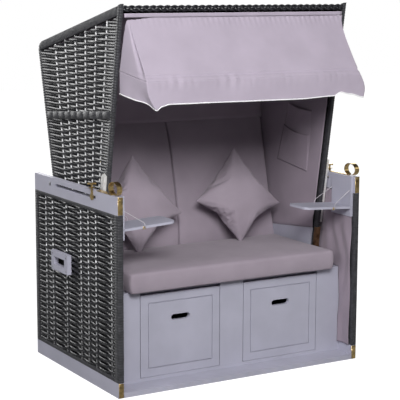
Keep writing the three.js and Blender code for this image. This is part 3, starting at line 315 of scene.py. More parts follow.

# %% [markdown]
# Strand: extruded flat plastic in black, made to look like rattan. Its shine is what draws the weave in the
# photograph. It has fine lines along its length; a noise in all directions at about a millimetre stands for
# them, because the strands run every way. The strand that is wound round the rails looks duller in the
# photograph. The stakes between the weave are the same black strand; their pale colour is a painted
# highlight, which stands for the bright glints on them.

# %% Strand
STRAND_BLACK = (0.012, 0.012, 0.015)
# The stakes are black strand as well; this pale colour is a painted highlight for their glints.
STAKE_PAINTED_HIGHLIGHT = (0.88, 0.88, 0.90)
STRAND_IOR = 1.52
WOUND_BLACK = (0.035, 0.035, 0.04)
STRAND_LINES = 0.05 * MM
strand = mottled_finish("black strand", STRAND_BLACK, 0.3, (0.6, 1.8, 45.0), gloss=(0.2, 0.34, 90.0))
wound_strand = mottled_finish("wound strand", WOUND_BLACK, 0.45, (0.7, 1.4, 60.0), gloss=(0.36, 0.52, 120.0))
for material in (strand, wound_strand):
    relief(material, noise_field(material, 500.0, 2.0), STRAND_LINES, 0.3)
shader_of(strand).inputs["IOR"].default_value = STRAND_IOR
# Stake finish: a pale colour as a painted highlight, on a strongly specular finish.
stake_strand_painted_highlight = mottled_finish("stake with painted highlight", STAKE_PAINTED_HIGHLIGHT, 0.25, (0.85, 1.05, 60.0))
shader_of(stake_strand_painted_highlight).inputs["Specular IOR Level"].default_value = 1.0

# %% [markdown]
# Cloth: the cushions and linings are one plain woven polyester, the awning a paler coated one. At this
# distance the threads only soften the light, so a very fine crossed wave gives the relief and a little sheen
# lifts the edges. The linings hang inside the hood and the arms, so their copy of the cloth is darker: this
# is painted shade.

# %% Cloth
CUSHION_MAUVE = (0.33, 0.28, 0.33)
# The linings get a darker copy of the cushion cloth's colour: painted shade for their place inside the hood
# and arms.
LINING_MAUVE_PAINTED_SHADE = (0.29, 0.24, 0.29)
AWNING_MAUVE = (0.43, 0.375, 0.455)
THREADS = 420.0
THREAD_DEPTH = 0.1 * MM
THREAD_WOBBLE = 1.5
CLOTH_UNEVEN = 0.5 * MM
PIPING_WHITE = (0.95, 0.95, 0.96)
CORD_WHITE = (0.55, 0.52, 0.56)


def woven_cloth(name, colour, roughness, thread_depth):
    material = plain_finish(name, colour, roughness)
    mottle(material, colour, 0.95, 1.05, 9.0)
    tree = material.node_tree
    crossing = add_node(tree, "Math", operation="ADD")
    for index, direction in enumerate(("X", "Z")):
        wave = add_node(tree, "TexWave", {"Scale": THREADS, "Distortion": THREAD_WOBBLE},
                        bands_direction=direction)
        tree.links.new(texture_space(material), wave.inputs["Vector"])
        tree.links.new(wave.outputs["Fac"], crossing.inputs[index])
    relief(material, crossing.outputs[0], thread_depth, 0.35)
    relief(material, noise_field(material, 60.0, 3.0), CLOTH_UNEVEN, 0.25)
    shader = shader_of(material)
    shader.inputs["Sheen Weight"].default_value = 0.15
    shader.inputs["Sheen Roughness"].default_value = 0.5
    shader.inputs["Specular IOR Level"].default_value = 0.25
    return material


cushion_cloth = woven_cloth("cushion cloth", CUSHION_MAUVE, 0.85, THREAD_DEPTH)
# Lining cloth: the cushion cloth made darker, as painted shade.
lining_cloth_painted_shade = woven_cloth("lining cloth with painted shade", LINING_MAUVE_PAINTED_SHADE, 0.9, THREAD_DEPTH)
awning_cloth = woven_cloth("awning cloth", AWNING_MAUVE, 0.8, THREAD_DEPTH)
piping_white = woven_cloth("white piping", PIPING_WHITE, 0.6, THREAD_DEPTH / 2)
tray_cord_white = woven_cloth("tray cord", CORD_WHITE, 0.7, THREAD_DEPTH)

# %% [markdown]
# Metal: brass plate on the fittings, with darker tarnish in patches, darker bronze on the pivot straps,
# bright zinc on the latch plates and the awning rod, and dark steel for screws and bolts.

# %% Metal
BRASS = (0.74, 0.54, 0.24)
ZINC = (0.92, 0.91, 0.89)
BRONZE = (0.30, 0.19, 0.10)
STEEL = (0.35, 0.35, 0.37)
brass = mottled_finish("brass plate", BRASS, 0.3, (0.55, 1.15, 55.0), 1.0, (0.2, 0.42, 90.0))
zinc = mottled_finish("zinc plate", ZINC, 0.38, (0.88, 1.05, 70.0), 0.45, (0.3, 0.45, 110.0))
bronze = mottled_finish("dark bronze strap", BRONZE, 0.35, (0.5, 1.3, 40.0), 1.0, (0.25, 0.45, 80.0))
dark_steel = mottled_finish("dark steel bolt", STEEL, 0.4, (0.8, 1.1, 90.0), 1.0)
print("finishes:", len(bpy.data.materials))

# %% [markdown]
# Boards keep the solids of the frame. A painted board never has a knife edge, so a small bevel rounds them,
# and its grain runs along its longest side.

# %% Boards and fittings from the frame
BOARD_NODES = ["plinth_front", "plinth_back", "plinth_left", "plinth_right", "floor_board", "centre_divider",
               "bay_stile_left", "bay_stile_right", "seat_board", "armrest_left", "armrest_right",
               "tray_panel_left", "tray_panel_right", "carry_handle_left", "carry_handle_right",
               "footrest_front_left", "footrest_front_right", "footrest_box_left", "footrest_box_right",
               "footrest_top_left", "footrest_top_right", "tray_left", "tray_right", "hood_side_board_left",
               "hood_side_board_right"]
METAL_NODES = {"pivot_strap": bronze, "recline_clamp": brass, "release_handle": brass, "latch_plate": zinc}
EDGE_ROUND = 1.2 * MM


def dress_node(name, material, edge):
    """Gives a CAD node its finish and slightly rounded edges."""
    obj = nodes[name]
    obj.data.materials.clear()
    obj.data.materials.append(material)
    bevel = obj.modifiers.new("rounded edges", "BEVEL")
    bevel.width = edge
    bevel.segments = 2
    bevel.limit_method = "ANGLE"
    bevel.angle_limit = math.radians(40)
    bevel.harden_normals = True


for board in BOARD_NODES:
    low, high = node_box(board)
    size = high - low
    longest = max(range(3), key=lambda axis: size[axis])
    dress_node(board, wood["XYZ"[longest]], EDGE_ROUND)
for fitting, metal in METAL_NODES.items():
    for side in ("left", "right"):
        dress_node(f"{fitting}_{side}", metal, EDGE_ROUND / 3)
print("dressed", len(BOARD_NODES), "boards")

# %% [markdown]
# Most new pieces are lofts: a closed outline that is carried along a line, with a ring of points at each
# stop. One helper skins a list of rings, and another joins such skins into one piece that rides on a body.

# %% Helpers for shapes


def loft(rings, caps=True):
    """Points and faces of a skin over a list of rings with the same number of points."""
    points = [tuple(point) for ring in rings for point in ring]
    count = len(rings[0])
    faces = []
    for step in range(len(rings) - 1):
        for k in range(count):
            a = step * count + k
            b = step * count + (k + 1) % count
            faces.append((a, b, b + count, a + count))
    if caps:
        faces.append(tuple(reversed(range(count))))
        faces.append(tuple(range((len(rings) - 1) * count, len(rings) * count)))
    return points, faces


def ellipse(centre, side, up, side_radius, up_radius, count):
    """A ring of points round a centre."""
    return [centre + side * (math.cos(a) * side_radius) + up * (math.sin(a) * up_radius)
            for a in (k * math.tau / count for k in range(count))]


def joined(skins):
    """Several skins as one list of points and faces."""
    points, faces = [], []
    for skin_points, skin_faces in skins:
        start = len(points)
        points += skin_points
        faces += [tuple(start + index for index in face) for face in skin_faces]
    return points, faces


def make_piece(name, groups, body, smooth=True):
    """One object from groups of (skin, material) that rides on a body."""
    points, faces, slots, finishes = [], [], [], []
    for (skin_points, skin_faces), material in groups:
        start = len(points)
        points += skin_points
        faces += [tuple(start + index for index in face) for face in skin_faces]
        if material not in finishes:
            finishes.append(material)
        slots += [finishes.index(material)] * len(skin_faces)
    mesh = bpy.data.meshes.new(name)
    mesh.from_pydata(points, [], faces)
    for material in finishes:
        mesh.materials.append(material)
    mesh.polygons.foreach_set("material_index", slots)
    mesh.polygons.foreach_set("use_smooth", [smooth] * len(faces))
    mesh.update()
    obj = bpy.data.objects.new(name, mesh)
    bpy.context.collection.objects.link(obj)
    if body:
        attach(obj, body)
    return obj


def sharpen(obj, degrees=35):
    """Smooth shading that breaks at real edges."""
    bpy.context.view_layer.objects.active = obj
    obj.data.set_sharp_from_angle(angle=math.radians(degrees))


def smooth_step(share):
    share = min(1.0, max(0.0, share))
    return share * share * (3 - 2 * share)


def tube(path, radius, sides=8):
    path = [Vector(point) for point in path]
    rings = []
    for index, spot in enumerate(path):
        ahead = (path[min(index + 1, len(path) - 1)] - path[max(index - 1, 0)]).normalized()
        reference = Vector((0, 0, 1)) if abs(ahead.z) < 0.9 else Vector((1, 0, 0))
        side = ahead.cross(reference).normalized()
        up = side.cross(ahead)
        rings.append(ellipse(spot, side, up, radius, radius, sides))
    return loft(rings)


def rounded_path(points, bend, steps=6):
    """A route with rounded corners, as points close together."""
    points = [Vector(point) for point in points]
    path = [points[0]]
    for before, corner, after in zip(points, points[1:], points[2:]):
        start = corner + (before - corner).normalized() * min(bend, (before - corner).length / 2)
        finish = corner + (after - corner).normalized() * min(bend, (after - corner).length / 2)
        for step in range(steps + 1):
            share = step / steps
            path.append(start.lerp(corner, share).lerp(corner.lerp(finish, share), share))
    path.append(points[-1])
    return path


# %% [markdown]
# Small fittings that the frame leaves out: brass plates on the front ends of the armrests and of the plinth,
# which tie the corners together, screws in them and in the carry handles, and a bolt behind each recline
# slot. A screw is a low round head, so it is a lathe shape of a few rings with a shallow dip in its middle.

# %% Corner plates and screws
PLATE_THICK = 1.5 * MM
PLATE_INSET = 1.0 * MM
SCREW_RADIUS = 3.4 * MM
SCREW_HEAD = 1.4 * MM
SCREW_SIDES = 16
SCREW_SHARES = ((1.0, 0.0), (0.97, 0.45), (0.8, 0.8), (0.45, 0.97), (0.12, 0.86))
PLATE_EDGE = 1.0 * MM
BOLT_RADIUS = 9.0 * MM
SCREWS_FROM_END = 12.0 * MM
HANDLE_SCREW_INSET = 13.0 * MM
BOLT_FROM_MIDDLE = 237.0 * MM
BOLT_LEVEL = 789.0 * MM


def plate(low, high):
    """A thin plate with softened edges, as rings across its front."""
    low, high = Vector(low), Vector(high)
    rings = []
    for y, shrink in ((high.y, 0.0), (low.y + PLATE_EDGE / 2, 0.0), (low.y, PLATE_EDGE)):
        left, right = low.x + shrink, high.x - shrink
        foot, top = low.z + shrink, high.z - shrink
        rings.append([Vector((left, y, foot)), Vector((right, y, foot)),
                      Vector((right, y, top)), Vector((left, y, top))])
    return loft(rings)


def screw(centre, outward, radius=SCREW_RADIUS, head=SCREW_HEAD):
    """A domed screw head that stands on a face."""
    out = Vector(outward)
    side = out.orthogonal().normalized()
    up = out.cross(side)
    rings = []
    for share, rise in SCREW_SHARES:
        rings.append(ellipse(Vector(centre) + out * (head * rise), side, up, radius * share, radius * share,
                             SCREW_SIDES))
    return loft(rings)


for side, sign in SIDES:
    plates, screws = [], []
    for board in (f"armrest_{side}", f"plinth_{side}"):
        low, high = node_box(board)
        plates.append(plate((low.x + PLATE_INSET, low.y - PLATE_THICK, low.z + PLATE_INSET),
                            (high.x - PLATE_INSET, low.y, high.z - PLATE_INSET)))
        for z in (low.z + SCREWS_FROM_END, high.z - SCREWS_FROM_END):
            screws.append(screw(((low.x + high.x) / 2, low.y - PLATE_THICK, z), (0, -1, 0)))
    make_piece(f"corner_plates_{side}", [(joined(plates), brass), (joined(screws), brass)], "base")
    low, high = node_box(f"carry_handle_{side}")
    face_x = high.x if sign > 0 else low.x
    heads = [screw((face_x, y, z), (sign, 0, 0))
             for y in (low.y + HANDLE_SCREW_INSET, high.y - HANDLE_SCREW_INSET)
             for z in (low.z + HANDLE_SCREW_INSET, high.z - HANDLE_SCREW_INSET)]
    heads.append(screw((sign * OUTER_X, MIDDLE_Y + BOLT_FROM_MIDDLE, BOLT_LEVEL), (sign, 0, 0), BOLT_RADIUS,
                       SCREW_HEAD * 2))
    make_piece(f"side_screws_{side}", [(joined(heads), dark_steel)], "base")
print("plates and screws fitted")

# %% [markdown]
# The woven walls. A flat strand passes in front of one stake and behind the next, and the strand above does
# the opposite. Each strand is a thin lens that is lofted along the wall, and its depth swings between the
# stakes. In some columns the wall's inner upright stands behind the strands, so they bulge over it and no
# stake shows. A wall is drawn flat, as the outline of its corners; its rows run level in it, whatever the
# slant of its edges, and end where they meet the outline or a hole. A dark sheet behind them closes the
# small gaps; it is painted shade, which stands for the shade seen through them.

# %% Woven wall
STRAND_PITCH = 11.6 * MM
STRAND_DOME = 2.6 * MM
STRAND_BACK = 0.8 * MM
WEAVE_SWING = 4.6 * MM
END_DEPTH = 4.2 * MM
END_ROOM = 8.0 * MM
BACKING_DEPTH = 6.5 * MM
STAKE_WIDTH = 5.5 * MM
STAKE_DOME = 3.2 * MM
HIDDEN_HALF = 17.0 * MM
STRAND_FILL_SHARE = 0.97
STEPS_BETWEEN_STAKES = 5
STRAND_PROFILE = [(-1.0, -STRAND_BACK), (-0.8, STRAND_DOME * 0.45), (-0.35, STRAND_DOME * 0.9),
                  (0.35, STRAND_DOME * 0.9), (0.8, STRAND_DOME * 0.45), (1.0, -STRAND_BACK)]
STAKE_PROFILE = [(-1.0, -STAKE_DOME / 2), (-0.6, STAKE_DOME * 0.6), (0.0, STAKE_DOME),
                 (0.6, STAKE_DOME * 0.6), (1.0, -STAKE_DOME / 2)]


def level_span(corners, level):
    """Where a level line enters and leaves an outline of (s, t) corners."""
    spots = []
    for (s0, t0), (s1, t1) in zip(corners, corners[1:] + corners[:1]):
        if min(t0, t1) <= level <= max(t0, t1) and t0 != t1:
            spots.append(s0 + (s1 - s0) * (level - t0) / (t1 - t0))
    return min(spots), max(spots)


def woven_wall(corners, stakes, place, hidden=(), hole=None, backing_depth=BACKING_DEPTH):
    """Strands, stakes and backing of a wall. stakes: lines of two (s, t); place(s, t, depth) puts a point."""
    bottom = min(t for s, t in corners)
    height = max(t for s, t in corners) - bottom
    count = round(height / STRAND_PITCH)
    pitch = height / count
    half = pitch * STRAND_FILL_SHARE / 2
    strands = []
    for row in range(count):
        level = bottom + (row + 0.5) * pitch
        first, last = level_span(corners, level)
        spans = [(first, last)]
        if hole and hole[0][1] < level < hole[1][1]:
            spans = [(first, hole[0][0]), (hole[1][0], last)]
        for span_start, span_end in spans:
            marks = [(span_start, END_DEPTH)]
            for index, (low, high) in enumerate(stakes):
                s = low[0] + (high[0] - low[0]) * (level - low[1]) / (high[1] - low[1])
                if not span_start + END_ROOM < s < span_end - END_ROOM:
                    continue
                depth = WEAVE_SWING if (index + row) % 2 else -WEAVE_SWING
                if index in hidden:
                    marks += [(s - HIDDEN_HALF, depth), (s + HIDDEN_HALF, depth)]
                else:
                    marks.append((s, depth))
            marks.append((span_end, END_DEPTH))
            rings = []
            for (s0, depth0), (s1, depth1) in zip(marks, marks[1:]):
                for step in range(STEPS_BETWEEN_STAKES + (s1 == span_end)):
                    share = step / STEPS_BETWEEN_STAKES
                    s = s0 + (s1 - s0) * share
                    depth = depth0 + (depth1 - depth0) * smooth_step(share)
                    rings.append([place(s, level + half * across_share, depth + rise)
                                  for across_share, rise in STRAND_PROFILE])
            strands.append(loft(rings))
    uprights = []
    for index, (low, high) in enumerate(stakes):
        if index in hidden:
            continue
        uprights.append(loft([[place(s + STAKE_WIDTH / 2 * across_share, t, rise)
                               for across_share, rise in STAKE_PROFILE] for s, t in (low, high)]))
    backing = ([tuple(place(s, t, -backing_depth)) for s, t in corners], [tuple(range(len(corners)))])
    return joined(strands), joined(uprights), backing


# %% [markdown]
# The wrapped rails. Every edge of the weave is a tube with strand wound round it, turn beside turn. Each
# turn is four rings: one down in the groove, one at each of its lips and a full one in the middle.

# %% Wrapped rail
WRAP_PITCH = 11.0 * MM
WRAP_GROOVE = 1.5 * MM
WRAP_GROOVE_HALF = 2.4 * MM
SKIN_PROUD = 1.2 * MM
CORNER_ROUND = 4.0 * MM
TOLERANCE = 1e-9


def rounded_ring(centre, across, along_depth, half_width, half_depth, shrink):
    """A rectangle with rounded corners, as twelve points."""
    ring = []
    for sign_w, sign_d in ((1, 1), (-1, 1), (-1, -1), (1, -1)):
        inner_w = half_width - CORNER_ROUND
        inner_d = half_depth - CORNER_ROUND
        start = math.atan2(sign_d, sign_w) - math.pi / 4
        for step in range(3):
            angle = start + step * math.pi / 4
            radius = CORNER_ROUND - shrink
            ring.append(centre + across * (sign_w * inner_w + math.cos(angle) * radius)
                        + along_depth * (sign_d * inner_d + math.sin(angle) * radius))
    return ring


def wrapped_rail(path, across, width, depths, pitch=WRAP_PITCH):
    """A wound rail along a path. across is its width's direction, depths its depth at each path point."""
    path = [Vector(point) for point in path]
    across = Vector(across).normalized()
    lengths = [0.0]
    for a, b in zip(path, path[1:]):
        lengths.append(lengths[-1] + (b - a).length)
    total = lengths[-1]
    turns = max(1, round(total / pitch))
    lip = WRAP_GROOVE_HALF * turns / total

    def station(distance):
        distance = min(max(distance, 0.0), total)
        index = max(i for i in range(len(path) - 1) if lengths[i] <= distance + TOLERANCE)
        share = (distance - lengths[index]) / (lengths[index + 1] - lengths[index])
        spot = path[index].lerp(path[index + 1], share)
        depth = depths[index] + (depths[index + 1] - depths[index]) * share
        ahead = path[index + 1] - path[index]
        return spot, ahead.normalized(), depth

    stops = []
    for turn in range(turns):
        for share, shrink in ((0.0, WRAP_GROOVE), (lip, WRAP_GROOVE / 4), (0.5, 0.0),
                              (1 - lip, WRAP_GROOVE / 4)):
            stops.append(((turn + share) * total / turns, shrink))
    stops.append((total, WRAP_GROOVE))
    rings = []
    for distance, shrink in stops:
        spot, ahead, depth = station(distance)
        rings.append(rounded_ring(spot, across, ahead.cross(across), width / 2, depth / 2, shrink))
    return loft(rings)


# %% [markdown]
# The base's sides: a wrapped frame on the plinth, with ten stakes between its posts. The handle's hole goes
# through the weave, so the strands end there, and the carry handle covers their ends.

# %% Base sides
SIDE_POST = 30.0 * MM
SIDE_RAIL = 14.0 * MM
STAKES_FROM_FRONT = 38.0 * MM
STAKE_PITCH = 70.0 * MM
BASE_STAKES = 10
BASE_HIDDEN = (1, 5, 7)
BASE_BACKING_DEPTH = 13.0 * MM
frame_low, frame_high = node_box("base_side_frame_right")
weave_low, weave_high = node_box("base_side_weave_right")
HANDLE_HOLE_WIDTH = 100.0 * MM
HANDLE_HOLE_HEIGHT = 34.0 * MM
handle_low, handle_high = node_box("carry_handle_right")
HANDLE_MIDDLE = (handle_low + handle_high) / 2
HANDLE_HOLE = [(HANDLE_MIDDLE.y - HANDLE_HOLE_WIDTH / 2, HANDLE_MIDDLE.z - HANDLE_HOLE_HEIGHT / 2),
               (HANDLE_MIDDLE.y + HANDLE_HOLE_WIDTH / 2, HANDLE_MIDDLE.z + HANDLE_HOLE_HEIGHT / 2)]
# The sheet behind each weave is black as painted shade: it stands for the shade seen through the gaps.
painted_shade_backing = mottled_finish("painted shade behind the weave", STRAND_BLACK, 0.9, (0.5, 1.0, 30.0))


def mirrored(sign, point):
    return Vector((sign * point[0], point[1], point[2]))


for side, sign in SIDES:
    x = (weave_low.x + weave_high.x) / 2
    low_z, high_z = weave_low.z, weave_high.z
    start_y, end_y = weave_low.y, weave_high.y
    stakes = []
    for index in range(BASE_STAKES):
        stake_y = start_y + STAKES_FROM_FRONT + index * STAKE_PITCH
        stakes.append(((stake_y, low_z), (stake_y, high_z)))
    outline = [(start_y, low_z), (end_y, low_z), (end_y, high_z), (start_y, high_z)]
    strands, uprights, backing = woven_wall(
        outline, stakes, lambda s, t, depth: Vector((sign * (x + depth), s, t)), BASE_HIDDEN, HANDLE_HOLE,
        BASE_BACKING_DEPTH)
    wall = make_piece(f"base_weave_{side}", [(strands, strand), (uprights, stake_strand_painted_highlight),
                                             (backing, painted_shade_backing)], "base")
    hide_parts(f"base_side_weave_{side}")
    rail_x = sign * (INNER_X + OUTER_X) / 2
    width = OUTER_X - INNER_X + SKIN_PROUD * 2
    post = SIDE_POST + SKIN_PROUD * 2
    bar = SIDE_RAIL + SKIN_PROUD * 2
    rails = []
    for post_y in (frame_low.y + SIDE_POST / 2, frame_high.y - SIDE_POST / 2):
        rails.append(wrapped_rail([(rail_x, post_y, frame_low.z), (rail_x, post_y, frame_high.z)], (1, 0, 0),
                                  width, (post, post)))
    for rail_z in (frame_low.z + SIDE_RAIL / 2, frame_high.z - SIDE_RAIL / 2):
        rails.append(wrapped_rail([(rail_x, frame_low.y + SIDE_POST, rail_z),
                                   (rail_x, frame_high.y - SIDE_POST, rail_z)], (1, 0, 0),
                                  width, (bar, bar)))
    wrapped = make_piece(f"base_rails_{side}", [(joined(rails), wound_strand)], "base")
    sharpen(wrapped)
    nodes[f"base_side_frame_{side}"].data.materials.clear()
    nodes[f"base_side_frame_{side}"].data.materials.append(wound_strand)
print("base sides woven")

# %% [markdown]
# The hood seen from the side is a slanted four-sided frame. Its edges are lines, and every inner point is
# where two edges meet after each has moved inwards, which is how a maker would draw it.

# %% Hood outline
HOOD_FOOT_BEFORE_MIDDLE = 159.5 * MM
HOOD_FOOT_LEVEL = 470.0 * MM
HOOD_FOOT = Vector((MIDDLE_Y - HOOD_FOOT_BEFORE_MIDDLE, HOOD_FOOT_LEVEL))
HOOD_FRONT_TOP = HOOD_FOOT + Vector((-183.0 * MM, 1092.0 * MM))
HOOD_REAR_FOOT = HOOD_FOOT + Vector((394.0 * MM, 0.0))
HOOD_REAR_TOP = HOOD_REAR_FOOT + Vector((218.0 * MM, 912.0 * MM))
HOOD_CORNERS = [HOOD_FOOT, HOOD_FRONT_TOP, HOOD_REAR_TOP, HOOD_REAR_FOOT]
FRONT, ROOF, BACK, FOOT = range(4)
HOOD_OUTER = 544.0 * MM
HOOD_TUBE = 25.0 * MM
HOOD_TUBE_WIDTH = 17.0 * MM
HOOD_INNER = HOOD_OUTER - HOOD_TUBE_WIDTH


def hood_edge(edge, inset):
    start = HOOD_CORNERS[edge]
    along = (HOOD_CORNERS[(edge + 1) % 4] - start).normalized()
    inward = Vector((along.y, -along.x))
    return start + inward * inset, along


def hood_meet(edge_a, inset_a, edge_b, inset_b):
    """Where two edges of the hood meet, each moved inwards; (y, z)."""
    start_a, along_a = hood_edge(edge_a, inset_a)
    start_b, along_b = hood_edge(edge_b, inset_b)
    gap = start_b - start_a
    reach = gap.cross(along_b) / along_a.cross(along_b)
    return start_a + along_a * reach


def hood_at(edge, inset, z):
    """The point of an edge, moved inwards, at a height; (y, z)."""
    start, along = hood_edge(edge, inset)
    return start + along * ((z - start.y) / along.y)


def in_hood(x, point):
    return Vector((x, point.x, point.y))


# %% [markdown]
# Hood sides: two posts, a deep top rail that bends round the rear corner, a foot rail and a flat middle
# rail. The weave fills both fields between them, with six stakes that fan out towards the roof.

# %% Hood sides
TOP_RAIL = 38.0 * MM
REAR_POST = 22.0 * MM
MID_RAIL = 33.0 * MM
POST_OVERRUN = 30.0 * MM
MID_LEVEL = 1122.0 * MM
MID_DROP = 50.0 * MM
REAR_BEND = 45.0 * MM
BEND_STEPS = 6
HOOD_STAKE_START = 0.13
HOOD_STAKE_PITCH = 0.135
HOOD_STAKES = 6
MID_WRAP = 62.0 * MM
ROW_GAP = 9.0 * MM
HOOD_WEAVE_OUT = 1.0 * MM
MID_RAIL_OUT = 2.5 * MM
HOOD_WEAVE_X = HOOD_OUTER - HOOD_TUBE_WIDTH / 2 + HOOD_WEAVE_OUT
MID_RAIL_X = HOOD_OUTER - HOOD_TUBE_WIDTH / 2 + MID_RAIL_OUT


def under_roof(point):
    """Lowers a point to the roof's edge if it stands above it, which mitres a post."""
    start, along = hood_edge(ROOF, 0)
    roof_z = start.y + (point[1] - start.x) * along.y / along.x
    return (point[0], point[1], min(point[2], roof_z))


def hood_side_rails(sign):
    x = sign * (HOOD_OUTER + HOOD_INNER) / 2
    half = HOOD_TUBE / 2
    rails = []
    foot = hood_meet(FRONT, half, FOOT, 0)
    front_top = hood_meet(FRONT, half, ROOF, -POST_OVERRUN)
    points, faces = wrapped_rail([in_hood(x, foot), in_hood(x, front_top)], (1, 0, 0), HOOD_TUBE_WIDTH,
                                 (HOOD_TUBE, HOOD_TUBE))
    rails.append(([under_roof(point) for point in points], faces))
    start = hood_meet(FRONT, HOOD_TUBE, ROOF, TOP_RAIL / 2)
    before = hood_meet(ROOF, TOP_RAIL / 2, BACK, REAR_BEND)
    after = hood_meet(ROOF, REAR_BEND, BACK, REAR_POST / 2)
    corner = hood_meet(ROOF, TOP_RAIL / 2, BACK, REAR_POST / 2)
    end = hood_meet(BACK, REAR_POST / 2, FOOT, 0)
    path = [start, before]
    depths = [TOP_RAIL, TOP_RAIL]
    for step in range(1, BEND_STEPS + 1):
        share = step / BEND_STEPS
        path.append(before.lerp(corner, share).lerp(corner.lerp(after, share), share))
        depths.append(TOP_RAIL + (REAR_POST - TOP_RAIL) * share)
    path.append(end)
    depths.append(REAR_POST)
    rails.append(wrapped_rail([in_hood(x, point) for point in path], (1, 0, 0), HOOD_TUBE_WIDTH, depths))
    foot_front = hood_meet(FRONT, HOOD_TUBE, FOOT, half)
    foot_rear = hood_meet(BACK, REAR_POST, FOOT, half)
    rails.append(wrapped_rail([in_hood(x, foot_front), in_hood(x, foot_rear)], (1, 0, 0), HOOD_TUBE_WIDTH,
                              (HOOD_TUBE, HOOD_TUBE)))
    return rails


for side, sign in SIDES:
    rails = make_piece(f"hood_rails_{side}", [(joined(hood_side_rails(sign)), wound_strand)], "hood")
    sharpen(rails)
    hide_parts(f"hood_side_frame_{side}")
    foot_front = hood_meet(FRONT, HOOD_TUBE, FOOT, HOOD_TUBE)
    foot_rear = hood_meet(BACK, REAR_POST, FOOT, HOOD_TUBE)
    roof_front = hood_meet(FRONT, HOOD_TUBE, ROOF, TOP_RAIL)
    roof_rear = hood_meet(BACK, REAR_POST, ROOF, TOP_RAIL)
    gap = Vector((0, ROW_GAP))
    stakes = []
    for index in range(HOOD_STAKES):
        share = HOOD_STAKE_START + HOOD_STAKE_PITCH * index
        stakes.append((foot_front.lerp(foot_rear, share), roof_front.lerp(roof_rear, share)))
    strands, uprights, backing = woven_wall(
        [tuple(corner) for corner in (foot_front, foot_rear, roof_rear - gap, roof_front - gap)], stakes,
        lambda s, t, depth: Vector((sign * (HOOD_WEAVE_X + depth), s, t)))
    mid_front = hood_at(FRONT, HOOD_TUBE, MID_LEVEL)
    mid_rear = hood_at(BACK, REAR_POST, MID_LEVEL - MID_DROP)
    middle = wrapped_rail([in_hood(sign * MID_RAIL_X, mid_front), in_hood(sign * MID_RAIL_X, mid_rear)],
                          (1, 0, 0), HOOD_TUBE_WIDTH, (MID_RAIL, MID_RAIL), MID_WRAP)
    wall = make_piece(f"hood_weave_{side}", [(strands, strand), (uprights, stake_strand_painted_highlight),
                                             (middle, wound_strand), (backing, painted_shade_backing)], "hood")
    sharpen(wall, 50)
    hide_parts(f"hood_side_weave_{side}")
print("hood sides woven")

# %% [markdown]
# Roof, back and the base's low rear wall are woven the same way between their rails. The roof's front edge
# is a thick plait of three bundles, which is the row of dark beads along the top of the photograph.

# %% Roof, back and rear wall
STAKE_SPREAD = 57.0 * MM
ROOF_WEAVE_START = 27.0 * MM
WEAVE_INSET = 9.0 * MM
WALL_HALF = HOOD_INNER


def woven_across(name, low, high, outward, node_names, body, rails=(), half=WALL_HALF):
    """A woven wall between the sides, from a low to a high line, with its rails."""
    out = Vector(outward)
    along = (high - low).normalized()
    length = (high - low).length
    count = round(2 * half / STAKE_SPREAD)
    stakes = []
    for index in range(count):
        s = -half + 2 * half * (index + 0.5) / count
        stakes.append(((s, 0.0), (s, length)))
    strands, uprights, backing = woven_wall(
        [(-half, 0.0), (half, 0.0), (half, length), (-half, length)], stakes,
        lambda s, t, depth: in_hood(s, low + along * t) + out * depth)
    groups = [(strands, strand), (uprights, stake_strand_painted_highlight), (backing, painted_shade_backing)]
    groups += [(rail, wound_strand) for rail in rails]
    wall = make_piece(name, groups, body)
    sharpen(wall, 50)
    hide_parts(*node_names)
    return wall


def rail_across(spot, depth_direction, depth, height, half=WALL_HALF):
    """A wrapped rail along X; depth lies along the given direction."""
    return wrapped_rail([in_hood(-half, spot), in_hood(half, spot)], (0, *depth_direction), depth,
                        (height, height))


def outward_of(edge):
    """The direction that points out of the hood from one of its edges."""
    along = hood_edge(edge, 0)[1]
    return Vector((0, -along.y, along.x))


roof_up = outward_of(ROOF)
woven_across("roof_weave_strands", hood_meet(FRONT, ROOF_WEAVE_START, ROOF, WEAVE_INSET),
             hood_meet(BACK, HOOD_TUBE, ROOF, WEAVE_INSET), roof_up, ["roof_weave"], "hood")
back_rails = [rail_across(hood_meet(BACK, HOOD_TUBE / 2, edge, HOOD_TUBE / 2), hood_edge(BACK, 0)[1],
                          HOOD_TUBE, HOOD_TUBE) for edge in (ROOF, FOOT)]
woven_across("hood_back_strands", hood_meet(BACK, WEAVE_INSET, FOOT, HOOD_TUBE),
             hood_meet(BACK, WEAVE_INSET, ROOF, HOOD_TUBE), outward_of(BACK), ["hood_back_weave"], "hood",
             back_rails)
back_low, back_high = node_box("base_back_weave")
BACK_RAIL = 24.0 * MM
REAR_WALL_INSET = 7.0 * MM
wall_y = back_high.y - REAR_WALL_INSET
base_half = back_high.x
rear_rail = rail_across(Vector((back_high.y - BACK_RAIL / 2, back_high.z - BACK_RAIL / 2)), Vector((1, 0)),
                        BACK_RAIL, BACK_RAIL, base_half)
woven_across("base_back_strands", Vector((wall_y, back_low.z)), Vector((wall_y, back_high.z - BACK_RAIL)),
             (0, 1, 0), ["base_back_weave"], "base", [rear_rail], base_half)

# %% Plait along the roof's front edge
PLAIT_REPEAT = 96.0 * MM
PLAIT_HEIGHT = 14.0 * MM
PLAIT_DEPTH = 15.0 * MM
PLAIT_BUNDLE_WIDE = 6.6 * MM
PLAIT_BUNDLE_DEEP = 5.2 * MM
PLAIT_SIDES = 8
PLAIT_INSET = 8.0 * MM
PLAIT_BELOW_ROOF = 14.5 * MM
CORE_INSET = 17.0 * MM
CORE_DEEP = 20.0 * MM
CORE_HIGH = 16.0 * MM


